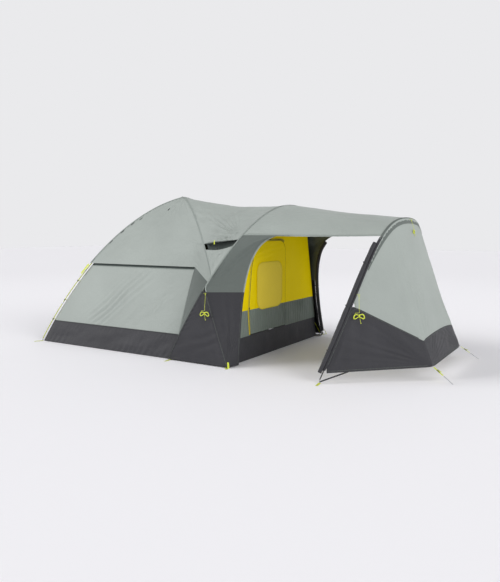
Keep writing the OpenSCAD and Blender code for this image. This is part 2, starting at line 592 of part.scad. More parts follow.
// Yellow webbing that pulls the fly's rear corners down the poles, and loops on the front corners
module hem_straps() color(cord_yellow) for (sy = [-1, 1]) {
  strap(leg_point(leg_u(1030), -1, sy, -8), leg_point(leg_u(905), -1, sy, -8), web_w, web_t,
    [-leg_dir[0], sy * leg_dir[1], 0.8]);
  strap(front_corner * 1 + [0, sy > 0 ? 2 * abs(front_corner[1]) : 0, 0] + [9, sy * 13, 70],
    front_corner * 1 + [0, sy > 0 ? 2 * abs(front_corner[1]) : 0, 0] + [30, sy * 36, 8], web_w * 0.8, web_t,
    [0.7, sy * 0.7, 0.4]);
}

// ---- Guylines ----
side_guy = ridge(790) + [10, -26, 0];
end_guy_q = 0.42;
end_guy = mix(end_top(end_guy_q), end_hem(end_guy_q), 0.03) + [16, -30, 0];
top_guy = hoop_point(0) + [46, 0, -12];
module guy_loop(p) at(p, [1, 0, 0]) difference() {
  translate([0, 0, -web_t / 2 - 3]) linear_extrude(6) hull() {
    circle(r = 8, $fn = 32);
    translate([-18, 0]) circle(r = 8, $fn = 32);
  }
  translate([0, 0, -10]) cylinder(h = 20, r = 4, $fn = 32);
}
module guy_loops() color(cord_yellow) {
  mirrored() {
    guy_loop(side_guy);
    guy_loop(end_guy);
  }
  guy_loop(top_guy);
}

// Stretches of free cord, from each loop down to its hank
side_drop = [[0, 0, -14], [3, -8, -40], [8, -20, -90], [13, -34, -140], [16, -44, -186]];
end_drop = [[0, 0, -14], [3, -4, -45], [8, -12, -100], [13, -20, -150], [15, -24, -176]];
top_drop = [[0, 0, -14], [10, 0, -40], [20, 1, -70], [28, 2, -96], [31, 2, -106]];
module guy_side() color(cord_yellow) bar([for (p = side_drop) side_guy + p], cord_d, [1, 0, 0]);
module guy_end() color(cord_yellow) bar([for (p = end_drop) end_guy + p], cord_d, [1, 0, 0]);
module guy_top() color(cord_yellow) bar([for (p = top_drop) top_guy + p], cord_d, [0, 1, 0]);
hank_gap = 1;
module hank(p, w, h, turn) translate(p - [0, 0, h / 2 + hank_gap]) rotate([90, 0, turn])
  translate([0, 0, -hank_t / 2]) linear_extrude(hank_t) hull() for (x = [-1, 1])
  translate([x * (w - h) / 2, 0]) circle(d = h, $fn = 32);
module hank_side() color(cord_yellow) hank(side_guy + side_drop[4], hank_w, hank_h, 8);
module hank_end() color(cord_yellow) hank(end_guy + end_drop[4], hank_w, hank_h, 36);
module hank_top() color(cord_yellow) hank(top_guy + top_drop[4], hank_h, hank_h * 0.8, 90);

// ---- Stake corners: strap on a hinge pin, with its peg ----
strap_gap = 14;
stake_dir = unit([184, -43, -(end_lift - 20)]);
stake_root = hem_corner(-1) + stake_dir * strap_gap;
stake_end = stake_root + stake_dir * strap_l;
peg_start = 12;
module stake_strap() color(cord_yellow) {
  strap(stake_root, stake_end);
  strap(stake_root + stake_dir * 46 + [0, 0, 3.2], stake_root + stake_dir * 74 + [0, 0, 3.2], web_w + 7, 3.4);
}
module strap_near() stake_strap();
module strap_far() mirror([0, 1, 0]) stake_strap();
// The peg's lowest edge rests on the ground
peg_run = (stake_end[2] - peg_d / 2 * sqrt(1 - pow(stake_dir[2], 2)) - 0.3) / -stake_dir[2];
module stake_peg() color("silver") {
  head = stake_end + stake_dir * peg_start;
  at(head, stake_dir) cylinder(h = min(peg_run, peg_l) - peg_start, d = peg_d, $fn = 24);
  at(head, stake_dir) rotate_extrude($fn = 24) translate([peg_d / 2 - 0.5, 0]) square([4, 3]);
}
module peg_near() stake_peg();
module peg_far() mirror([0, 1, 0]) stake_peg();

// ---- Lantern ring under the crossing ----
lantern_r = 16;
lantern_wire = 4;
module lantern_ring() color("dimgray")
  translate([0, 0, lantern_top - lantern_r - lantern_wire / 2]) rotate([90, 0, 0])
  rotate_extrude($fn = 48) translate([lantern_r, 0]) circle(d = lantern_wire, $fn = 24);

groundsheet();
bathtub();
side_wall_near();
side_wall_far();
rear_wall();
eave_mesh();
quarter_near();
quarter_far();
corner_near();
corner_far();
wing_near_lower();
wing_near_upper();
wing_far_lower();
wing_far_upper();
roof_near();
roof_far();
roof_rear();
roof_front();
gusset_near();
gusset_far();
hood_near();
hood_far();
vent_struts_near();
vent_struts_far();
vent_mesh();
awning_roof();
end_panel_upper();
end_panel_lower();
hoop_sleeve();
rolled_door_near();
rolled_door_far();
inner_canopy();
inner_side_walls();
front_wall();
front_skirt();
door_zip();
door_panel();
door_window();
zip_slider();
main_pole_1();
main_pole_2();
arch_pole();
hoop_pole();
pole_ferrules();
pole_tips();
pole_clips();
corner_tabs();
hem_straps();
guy_loops();
strap_near();
strap_far();
peg_near();
peg_far();
lantern_ring();
guy_side();
guy_end();
guy_top();
hank_side();
hank_end();
hank_top();
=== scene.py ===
"""Looks of a six-person dome tent with a pole-supported awning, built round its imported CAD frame.

Every length is in metres unless its name ends in _mm. +X runs from the cabin towards the awning,
+Z is up, and the origin is on the ground under the crossing of the main poles. The -Y side is
called near and the +Y side far, as in the frame.
"""

import logging
import math
from dataclasses import dataclass, field
from enum import Enum
from typing import Callable, Sequence

import bpy
import numpy as np
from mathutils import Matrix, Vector


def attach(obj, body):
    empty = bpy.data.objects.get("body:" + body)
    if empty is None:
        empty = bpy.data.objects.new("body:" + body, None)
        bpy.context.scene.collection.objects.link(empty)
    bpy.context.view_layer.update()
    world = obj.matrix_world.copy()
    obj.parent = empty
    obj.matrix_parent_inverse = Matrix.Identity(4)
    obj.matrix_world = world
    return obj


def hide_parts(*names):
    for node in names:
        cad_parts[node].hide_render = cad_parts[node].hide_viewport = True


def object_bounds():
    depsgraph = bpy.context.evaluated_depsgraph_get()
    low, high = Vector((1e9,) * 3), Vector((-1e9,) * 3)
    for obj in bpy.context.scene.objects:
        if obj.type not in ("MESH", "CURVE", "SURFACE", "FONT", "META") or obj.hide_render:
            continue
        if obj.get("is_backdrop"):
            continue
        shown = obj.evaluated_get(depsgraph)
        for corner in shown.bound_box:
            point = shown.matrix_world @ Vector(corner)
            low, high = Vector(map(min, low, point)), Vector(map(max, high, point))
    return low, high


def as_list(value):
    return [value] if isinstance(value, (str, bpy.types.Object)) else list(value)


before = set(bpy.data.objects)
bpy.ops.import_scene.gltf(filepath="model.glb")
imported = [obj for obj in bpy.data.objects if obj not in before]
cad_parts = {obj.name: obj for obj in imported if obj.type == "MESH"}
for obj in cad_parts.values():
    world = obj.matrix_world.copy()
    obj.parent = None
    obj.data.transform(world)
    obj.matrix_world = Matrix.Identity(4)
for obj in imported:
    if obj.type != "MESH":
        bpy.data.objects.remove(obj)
CAD_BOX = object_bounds()

Array = np.ndarray
Surface = Callable[[Array, Array], Array]
log = logging.getLogger("dome_tent")

TENT = "tent"


# ---- Camera and cords ----


@dataclass(frozen=True)
class Viewpoint:
    """A standing photographer's camera at the near front corner."""

    place: tuple[float, float, float] = (4.987, -6.417, 1.476)
    pitch_deg: float = 84.179
    turn_deg: float = 31.48
    lens_mm: float = 36.27

    def make(self) -> bpy.types.Object:
        """Adds the camera and makes it the scene's own.

        Returns:
            The camera object.
        """
        data = bpy.data.cameras.new("camera")
        data.lens = self.lens_mm
        data.clip_end = 200.0
        camera = bpy.data.objects.new("camera", data)
        camera.location = self.place
        camera.rotation_euler = (math.radians(self.pitch_deg), 0.0, math.radians(self.turn_deg))
        bpy.context.scene.collection.objects.link(camera)
        bpy.context.scene.camera = camera
        return camera


def unit(v: Array) -> Array:
    """Scales vectors along the last axis to length one."""
    return v / np.maximum(np.linalg.norm(v, axis=-1, keepdims=True), 1e-12)


def lerp(a: Array, b: Array, t: Array | float) -> Array:
    """Points between a and b, where t is 0 at a and 1 at b."""
    return np.asarray(a) + (np.asarray(b) - np.asarray(a)) * np.asarray(t)[..., None]


def bezier(points: Array | Sequence[Sequence[float]], t: Array | float) -> Array:
    """Points of a cubic curve through four control points.

    Args:
        points: The four control points.
        t: Places on the curve, from 0 to 1.

    Returns:
        One point for each place.
    """
    p = np.asarray(points, float)
    t = np.asarray(t)[..., None]
    return (1 - t) ** 3 * p[0] + 3 * (1 - t) ** 2 * t * p[1] + 3 * (1 - t) * t**2 * p[2] + t**3 * p[3]


def run_length(points: Array) -> Array:
    """Distance run at each point of a line, from 0 at its first."""
    steps = np.linalg.norm(np.diff(points, axis=0), axis=1)
    return np.concatenate([[0.0], np.cumsum(steps)])


def spaced(points: Array, count: int) -> Array:
    """The same line with its points an equal distance apart.

    Args:
        points: The line.
        count: How many points it gets.

    Returns:
        The new points.
    """
    run = run_length(points)
    at = np.linspace(0.0, run[-1], count)
    return np.stack([np.interp(at, run, column) for column in points.T], axis=1)


def rounded(points: Array, count: int) -> Array:
    """A smooth line through a few points, as a Catmull-Rom curve.

    Args:
        points: The points that it passes.
        count: How many points the smooth line gets.

    Returns:
        The smooth line.
    """
    p = np.vstack([2 * points[0] - points[1], points, 2 * points[-1] - points[-2]])
    t = np.linspace(0, len(points) - 1 - 1e-9, 12 * len(points))
    i = t.astype(int)
    f = (t - i)[:, None]
    a, b, c, d = p[i], p[i + 1], p[i + 2], p[i + 3]
    fine = 0.5 * (2 * b + (c - a) * f + (2 * a - 5 * b + 4 * c - d) * f**2 + (3 * b - a - 3 * c + d) * f**3)
    return spaced(fine, count)


@dataclass(frozen=True)
class Guyline:
    """A braided guyline tied up in a bow that hangs below its loop.

    The cord drops along its route, runs round the bow in two layers, binds the waist and ends in
    a stopper knot.
    """

    name: str
    cord_node: str
    hank_node: str
    exit: tuple[float, float, float]
    route: tuple[tuple[float, float, float], ...]
    turn_deg: float
    half_width: float = 0.058
    half_height: float = 0.026
    rounds: float = 3.0
    tail: float = 0.075
    diameter: float = 0.003
    hank_drop: float = 0.031

    def bow(self) -> Array:
        """The cord's line round the bow, in the bow's own axes.

        Returns:
            Points as (along the bow, towards its front, up).
        """
        pitch = 1.06 * self.diameter
        layer = 0.57 * self.diameter
        a = np.arange(0.0, 2 * self.rounds + 1e-9, 1 / 28)
        turn = np.where(a < self.rounds, a, 2 * self.rounds - a)
        angle = 2 * math.pi * a + 0.5 * math.pi
        waist = 0.0016 + pitch * (self.rounds - turn)
        swell = (self.half_height - pitch * turn) / 0.707 - waist
        side = np.abs(np.cos(angle))
        x = (self.half_width - pitch * turn) * np.cos(angle)
        z = np.sin(angle) * (waist + swell * np.minimum(side * 1.42, 1.0) ** 1.3)
        y = layer * np.clip((a - self.rounds) * 8, -1, 1)
        z = z - 0.3 * x * x / self.half_width
        return np.stack([x, y, z], axis=1)

    def binding(self, top: Array) -> Array:
        """The wraps round the bow's waist and the tail below it.

        Args:
            top: Where the bow's last turn ends.

        Returns:
            Points in the bow's own axes.
        """
        angle = np.linspace(0.5 * math.pi, 4.9 * math.pi, 58)
        tall = abs(top[2]) + 0.9 * self.diameter
        deep = 2.75 * self.diameter
        grow = np.clip((angle - angle[0]) / 1.2, 0, 1)
        x = np.linspace(-1.05, 1.05, 58) * self.diameter
        y = top[1] * (1 - grow) ** 2 - deep * np.cos(angle) * grow
        wraps = np.stack([x, y, tall * np.sin(angle) * grow + top[2] * (1 - grow)], axis=1)
        drop = np.linspace(0.12, 1, 9) * self.tail
        end = wraps[-1] + np.stack([0.08 * drop + 0.1 * drop**2 / self.tail, 0 * drop, -drop], axis=1)
        return np.vstack([wraps, end])

    def line(self) -> Array:
        """The whole cord's centreline in the frame.

        Returns:
            Its points, from the loop to the knot.
        """
        bow = self.bow()
        local = np.vstack([bow[3:], self.binding(bow[-1])])
        turn = math.radians(self.turn_deg)
        along = np.array([math.cos(turn), math.sin(turn), 0.0])
        front = np.array([math.sin(turn), -math.cos(turn), 0.0])
        centre = np.array(self.route[-1]) - [0.0, 0.0, self.hank_drop]
        hank = centre + local[:, :1] * along + local[:, 1:2] * front + local[:, 2:] * [0.0, 0.0, 1.0]
        bend = np.vstack([self.route[-1], hank[0] + [0.0, 0.0, 0.3 * self.hank_drop] - 0.004 * along, hank[:2]])
        drop = rounded(np.vstack([self.route, bend[1:]]), 26)
        return np.vstack([drop[:-1], hank[1:]])

    def make(self, finish: "Finish") -> bpy.types.Object:
        """Builds the cord and its knots.

        Args:
            finish: The braid's finish.

        Returns:
            The cord, as a curve of one open spline.
        """
        line = self.line()
        data = bpy.data.curves.new(self.name, "CURVE")
        data.dimensions = "3D"
        data.resolution_u = 2
        data.bevel_depth = self.diameter / 2
        data.bevel_resolution = 3
        data.use_fill_caps = True
        spline = data.splines.new("BEZIER")
        spline.bezier_points.add(len(line) - 1)
        spline.bezier_points.foreach_set("co", line.ravel())
        for point in spline.bezier_points:
            point.handle_left_type = "AUTO"
            point.handle_right_type = "AUTO"
        cord = bpy.data.objects.new(self.name, data)
        bpy.context.scene.collection.objects.link(cord)
        data.materials.append(finish.material())
        knots = Bag()
        for place, along in ((line[0], line[1] - line[0]), (line[-1], line[-1] - line[-2])):
            knots.overhand(place, along, self.diameter)
        knot = knots.piece(f"{self.name}_knots", finish, TENT, slot="guyline")
        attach(cord, TENT)
        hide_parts(self.cord_node, self.hank_node)
        length = float(run_length(line)[-1])
        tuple(self.exit)
        log.info("%s: %.2f m of cord", self.name, length)
        return cord




# ---- Finishes ----


def linear(hex_colour: str) -> tuple[float, float, float, float]:
    """Turns an sRGB hex colour into linear RGBA.

    Args:
        hex_colour: The colour, such as "#A5960A".

    Returns:
        Its linear red, green, blue and an alpha of one.
    """
    parts = [int(hex_colour[i : i + 2], 16) / 255 for i in (1, 3, 5)]
    r, g, b = (c / 12.92 if c <= 0.04045 else ((c + 0.055) / 1.055) ** 2.4 for c in parts)
    return r, g, b, 1.0


def add(tree: bpy.types.NodeTree, kind: str, settings: dict | None = None, links: dict | None = None,
        **values: object) -> bpy.types.Node:
    """Adds a node with its settings, its values and the links into it.

    Args:
        tree: The node tree.
        kind: The node's type name.
        settings: Properties of the node itself.
        links: Output sockets by the name or number of the input that they feed.
        **values: Values by input name, with _ for a space.

    Returns:
        The new node.
    """
    node = tree.nodes.new(kind)
    for name, value in (settings or {}).items():
        setattr(node, name, value)
    for name, value in values.items():
        node.inputs[name.replace("_", " ")].default_value = value
    for name, output in (links or {}).items():
        tree.links.new(output, node.inputs[name])
    return node


@dataclass(frozen=True)
class Finish:
    """A material, named for what the real one is and how its surface was made."""

    name: str
    colour: str
    roughness: float = 0.6
    metallic: float = 0.0
    _made: dict = field(default_factory=dict, compare=False, repr=False)

    def material(self) -> bpy.types.Material:
        """The Blender material, made at its first use.

        Returns:
            The material.
        """
        if self.name not in self._made:
            made = bpy.data.materials.new(self.name)
            made.use_nodes = True
            made.diffuse_color = linear(self.colour)
            tree = made.node_tree
            tree.nodes.clear()
            shader = add(tree, "ShaderNodeBsdfPrincipled", Base_Color=linear(self.colour),
                         Roughness=self.roughness, Metallic=self.metallic)
            add(tree, "ShaderNodeOutputMaterial", links={"Surface": shader.outputs[0]})
            self.weather(tree, shader)
            self._made[self.name] = made
        return self._made[self.name]

    def weather(self, tree: bpy.types.NodeTree, shader: bpy.types.Node) -> None:
        """Adds the pattern that tells this finish from a flat colour; a plain one is only mottled."""
        place = add(tree, "ShaderNodeTexCoord").outputs["Object"]
        mottle = add(tree, "ShaderNodeTexNoise", links={"Vector": place}, Scale=260.0, Detail=3.0)
        self.shade(tree, shader, mottle.outputs["Fac"], 0.82, 1.12)
        self.bump(tree, shader, mottle.outputs["Fac"], 0.15, 0.0004)

    def shade(self, tree: bpy.types.NodeTree, shader: bpy.types.Node, by: bpy.types.NodeSocket, low: float,
              high: float) -> None:
        """Varies the base colour between two brightnesses.

        Args:
            tree: The material's tree.
            shader: Its Principled shader.
            by: What it varies by, from 0 to 1.
            low: Brightness at 0, as a share of the finish's colour.
            high: Brightness at 1.
        """
        r, g, b, _ = linear(self.colour)
        mixed = add(tree, "ShaderNodeMix", {"data_type": "RGBA"}, {0: by})
        mixed.inputs[6].default_value = (r * low, g * low, b * low, 1.0)
        mixed.inputs[7].default_value = (r * high, g * high, b * high, 1.0)
        tree.links.new(mixed.outputs[2], shader.inputs["Base Color"])

    def bump(self, tree: bpy.types.NodeTree, shader: bpy.types.Node, height: bpy.types.NodeSocket,
             strength: float, depth: float) -> None:
        """Raises the surface by a height, on top of the bumps that it has already.

        Args:
            tree: The material's tree.
            shader: Its Principled shader.
            height: The height, from 0 to 1.
            strength: How much of it shows.
            depth: How high 1 stands, in metres.
        """
        links = {"Height": height}
        if shader.inputs["Normal"].is_linked:
            links["Normal"] = shader.inputs["Normal"].links[0].from_socket
        bump = add(tree, "ShaderNodeBump", links=links, Strength=strength, Distance=depth)
        tree.links.new(bump.outputs["Normal"], shader.inputs["Normal"])


@dataclass(frozen=True)
class ClothFinish(Finish):
    """Woven cloth with a ripstop grid, read from the panel's own UV map, which is in metres.

    The real grid is about 5 mm and its threads 0.3 mm. They are drawn at grid_mm and thread_mm,
    coarse enough to show. Its emission is painted light: the cloth glows in its own colour, standing in for the
    daylight that comes through thin cloth from behind.
    """

    roughness: float = 0.62
    grid_mm: float = 9.0
    thread_mm: float = 1.6
    line: float = 0.93
    mottle: float = 0.05
    crumple_mm: float = 1.6
    sheen: float = 0.06
    # Strength of the painted light that the cloth gives off, standing in for daylight coming through it
    painted_glow: float = 0.0
    gloss: float = 0.3

    def weather(self, tree: bpy.types.NodeTree, shader: bpy.types.Node) -> None:
        """Adds the weave, the ripstop grid, soft crumples and the patchy tone of coated cloth."""
        shader.inputs["Sheen Weight"].default_value = self.sheen
        shader.inputs["Sheen Roughness"].default_value = 0.5
        shader.inputs["Specular IOR Level"].default_value = self.gloss
        # Painted light: an emission in the cloth's own colour for the daylight that shines through it
        shader.inputs["Emission Color"].default_value = linear(self.colour)
        shader.inputs["Emission Strength"].default_value = self.painted_glow
        coords = add(tree, "ShaderNodeTexCoord")
        place, flat = coords.outputs["Object"], coords.outputs["UV"]
        cloud = add(tree, "ShaderNodeTexNoise", links={"Vector": place}, Scale=1.7, Detail=4.0)
        grid = self.lattice(tree, flat, self.grid_mm, 0.12)
        weave = self.lattice(tree, flat, self.thread_mm, 0.5)
        tone = add(tree, "ShaderNodeMapRange", links={"Value": cloud.outputs["Fac"]}, From_Min=0.3,
                   From_Max=0.7, To_Min=1 - self.mottle, To_Max=1 + self.mottle)
        lined = add(tree, "ShaderNodeMapRange", links={"Value": grid}, To_Min=1.0, To_Max=self.line)
        both = add(tree, "ShaderNodeMath", {"operation": "MULTIPLY"},
                   {0: tone.outputs[0], 1: lined.outputs[0]})
        share = add(tree, "ShaderNodeMapRange", links={"Value": both.outputs[0]}, From_Min=0.8,
                    From_Max=1.2)
        self.shade(tree, shader, share.outputs[0], 0.8, 1.2)
        crumple = add(tree, "ShaderNodeTexNoise", links={"Vector": place}, Scale=11.0, Detail=5.0,
                      Roughness=0.55, Distortion=0.6)
        self.bump(tree, shader, crumple.outputs["Fac"], 0.5, self.crumple_mm / 1000 * 6)
        self.bump(tree, shader, weave, 0.25, 0.0003)
        self.bump(tree, shader, grid, 0.3, 0.0004)

    def lattice(self, tree: bpy.types.NodeTree, flat: bpy.types.NodeSocket, pitch_mm: float,
                width: float) -> bpy.types.NodeSocket:
        """Draws crossing threads.

        Args:
            tree: The material's tree.
            flat: The place on the cloth, in metres.
            pitch_mm: Spacing of the threads.
            width: Share of the spacing that a thread takes.

        Returns:
            A socket that is 1 on a thread and 0 between them.
        """
        cells = add(tree, "ShaderNodeVectorMath", {"operation": "SCALE"}, {0: flat}, Scale=1000 / pitch_mm)
        part = add(tree, "ShaderNodeVectorMath", {"operation": "FRACTION"}, {0: cells.outputs[0]})
        axes = add(tree, "ShaderNodeSeparateXYZ", links={0: part.outputs[0]})
        lines = [add(tree, "ShaderNodeMath", {"operation": "LESS_THAN"}, {0: axes.outputs[k]}) for k in (0, 1)]
        for line in lines:
            line.inputs[1].default_value = width
        both = add(tree, "ShaderNodeMath", {"operation": "MAXIMUM"},
                   {0: lines[0].outputs[0], 1: lines[1].outputs[0]})
        return both.outputs[0]


@dataclass(frozen=True)
class RibFinish(Finish):
    """Webbing, braid and coil: fine ribs across a narrow piece, drawn by its place in the frame."""

    roughness: float = 0.7
    rib_mm: float = 3.0
    depth_mm: float = 0.4

    def weather(self, tree: bpy.types.NodeTree, shader: bpy.types.Node) -> None:
        """Adds slanting ribs and a little wear."""
        place = add(tree, "ShaderNodeTexCoord").outputs["Object"]
        ribs = add(tree, "ShaderNodeTexWave", {"wave_type": "BANDS", "bands_direction": "DIAGONAL"},
                   {"Vector": place}, Scale=1000 / self.rib_mm / 6.5, Distortion=0.6, Detail=2.0)
        wear = add(tree, "ShaderNodeTexNoise", links={"Vector": place}, Scale=60.0, Detail=4.0)
        both = add(tree, "ShaderNodeMath", {"operation": "MULTIPLY_ADD"},
                   {0: ribs.outputs["Fac"], 2: wear.outputs["Fac"]})
        both.inputs[1].default_value = 0.35
        self.shade(tree, shader, both.outputs[0], 0.72, 1.18)
        self.bump(tree, shader, ribs.outputs["Fac"], 0.6, self.depth_mm / 1000)


@dataclass(frozen=True)
class DrawnFinish(Finish):
    """Drawn, pultruded or moulded stock: long faint streaks and handling marks."""

    streak: float = 0.12
    scale: float = 90.0

    def weather(self, tree: bpy.types.NodeTree, shader: bpy.types.Node) -> None:
        """Adds streaks along the height and varies the gloss with them."""
        place = add(tree, "ShaderNodeTexCoord").outputs["Object"]
        long = add(tree, "ShaderNodeMapping", links={"Vector": place})
        long.inputs["Scale"].default_value = (self.scale, self.scale, self.scale / 12)
        streaks = add(tree, "ShaderNodeTexNoise", links={"Vector": long.outputs[0]}, Scale=1.0, Detail=5.0)
        self.shade(tree, shader, streaks.outputs["Fac"], 1 - self.streak, 1 + self.streak)
        gloss = add(tree, "ShaderNodeMapRange", links={"Value": streaks.outputs["Fac"]},
                    To_Min=max(self.roughness - 0.1, 0.05), To_Max=self.roughness + 0.12)
        tree.links.new(gloss.outputs[0], shader.inputs["Roughness"])
        self.bump(tree, shader, streaks.outputs["Fac"], 0.12, 0.0003)


# Coated polyester taffeta of the fly: matt, cool grey with a green cast
FLY_LIGHT = ClothFinish("coated_taffeta_grey_green", "#9BA29D")
# The same cloth where it is drawn over the awning, on the quarters and on the upper wings: a copy drawn a shade
# darker as painted shade
FLY_PAINTED_SHADE = ClothFinish("coated_taffeta_grey_green_painted_shade", "#5F6662")
# The same cloth on the inner door's foot, paler and gathered
FLY_SKIRT = ClothFinish("coated_taffeta_skirt_grey", "#727C74")
# Coated oxford of the walls' foot: charcoal with a violet cast
FLY_DARK = ClothFinish("coated_oxford_charcoal", "#323236", grid_mm=7.0, thread_mm=2.2, mottle=0.09)
# Knitted mesh, drawn opaque: dark and dull, partly its own colour and partly painted shade for the shaded
# inside that shows through its holes
MESH = ClothFinish("knitted_mesh_dark", "#3F4744", roughness=0.85, grid_mm=3.0, line=0.55, crumple_mm=0.6)
# Uncoated polyester of the inner wall: warm yellow with a soft sheen, drawn brighter and glowing as painted
# light for the daylight that comes through it from behind
YELLOW = ClothFinish("dyed_taffeta_yellow", "#CDB600", roughness=0.6, mottle=0.04, sheen=0.0, painted_glow=0.3,
                     gloss=0.05)
# Mesh over a yellow lining: paler, with a visible net, and glowing as painted light for the daylight that comes
# through it from behind
WINDOW = ClothFinish("window_mesh_yellow", "#C4AF38", roughness=0.7, sheen=0.0, painted_glow=0.32, gloss=0.1,
                     grid_mm=4.0, line=0.86, crumple_mm=0.8)
# Woven polyester webbing: bright yellow green with cross ribs
WEBBING = RibFinish("woven_webbing_yellow", "#C8D23C")
# Braided guyline: the same dye, finer ribs
BRAID = RibFinish("braided_cord_yellow", "#CDD646", rib_mm=1.6, depth_mm=0.3)
# Grosgrain tape that binds the seams: grey, ribbed
TAPE_GREY = RibFinish("grosgrain_tape_grey", "#8D9590", roughness=0.75, rib_mm=2.0, depth_mm=0.2)
TAPE_DARK = RibFinish("grosgrain_tape_charcoal", "#2D2E31", roughness=0.75, rib_mm=2.0, depth_mm=0.2)
TAPE_YELLOW = RibFinish("grosgrain_tape_yellow", "#D2BE1E", roughness=0.75, rib_mm=2.0, depth_mm=0.2)
# Bonded nylon thread, a shade lighter than the tape
THREAD = Finish("bonded_thread_grey", "#70776F", roughness=0.5)
# Pultruded fibreglass tube: black, satin, streaked along its length
FIBREGLASS = DrawnFinish("pultruded_fibreglass_black", "#1E1F21", roughness=0.42)
# The main poles: the same tube dyed yellow green
FIBREGLASS_LIME = DrawnFinish("pultruded_fibreglass_lime", "#A9B023", roughness=0.42)
# Drawn aluminium ferrule: bright satin
ALUMINIUM = DrawnFinish("drawn_aluminium_satin", "#B9BDC1", roughness=0.32, metallic=1.0)
# Moulded acetal: black, slightly glossy
ACETAL = DrawnFinish("moulded_acetal_black", "#1A1B1C", roughness=0.38, streak=0.06)
# Zinc-plated steel wire of the pegs
STEEL = DrawnFinish("zinc_plated_steel", "#A5A8AB", roughness=0.36, metallic=1.0)
# Nylon zip coil on woven tape
COIL = RibFinish("nylon_zip_coil", "#26272A", roughness=0.45, rib_mm=1.5, depth_mm=0.4)
# Painted die-cast slider
PAINTED = DrawnFinish("painted_die_cast", "#232527", roughness=0.4, metallic=0.0, streak=0.08)


# ---- Meshes ----


def to_object(name: str, points: Array, faces: Sequence[Sequence[int]], finish: Finish,
              uv: Array | None = None, sharp_deg: float = 50.0) -> bpy.types.Object:
    """Makes a smooth-shaded mesh object at the origin.

    Args:
        name: The piece's name.
        points: Its vertices.
        faces: Its faces, which turn anticlockwise seen from outside.
        finish: Its material.
        uv: Each vertex's place on the flat cloth, in metres.
        sharp_deg: Edges that turn more than this stay sharp.

    Returns:
        The object.
    """
    mesh = bpy.data.meshes.new(name)
    mesh.from_pydata(np.asarray(points).tolist(), [], [list(f) for f in faces])
    mesh.update()
    if uv is not None:
        layer = mesh.uv_layers.new(name="cut")
        corner = np.zeros(len(mesh.loops), np.int32)
        mesh.loops.foreach_get("vertex_index", corner)
        layer.data.foreach_set("uv", np.asarray(uv, np.float32)[corner].ravel())
    mesh.shade_smooth()
    mesh.set_sharp_from_angle(angle=math.radians(sharp_deg))
    mesh.materials.append(finish.material())
    made = bpy.data.objects.new(name, mesh)
    bpy.context.scene.collection.objects.link(made)
    return made


def frames_along(points: Array, side: Array) -> tuple[Array, Array, Array]:
    """Directions to sweep a section along a line.

    Args:
        points: The line.
        side: A direction, or one for each point, that the section's first axis keeps close to.

    Returns:
        The line's direction, the section's first axis and its second, at each point.
    """
    ahead = unit(np.gradient(points, axis=0))
    first = unit(side - np.sum(side * ahead, axis=-1, keepdims=True) * ahead)
    return ahead, first, np.cross(ahead, first)


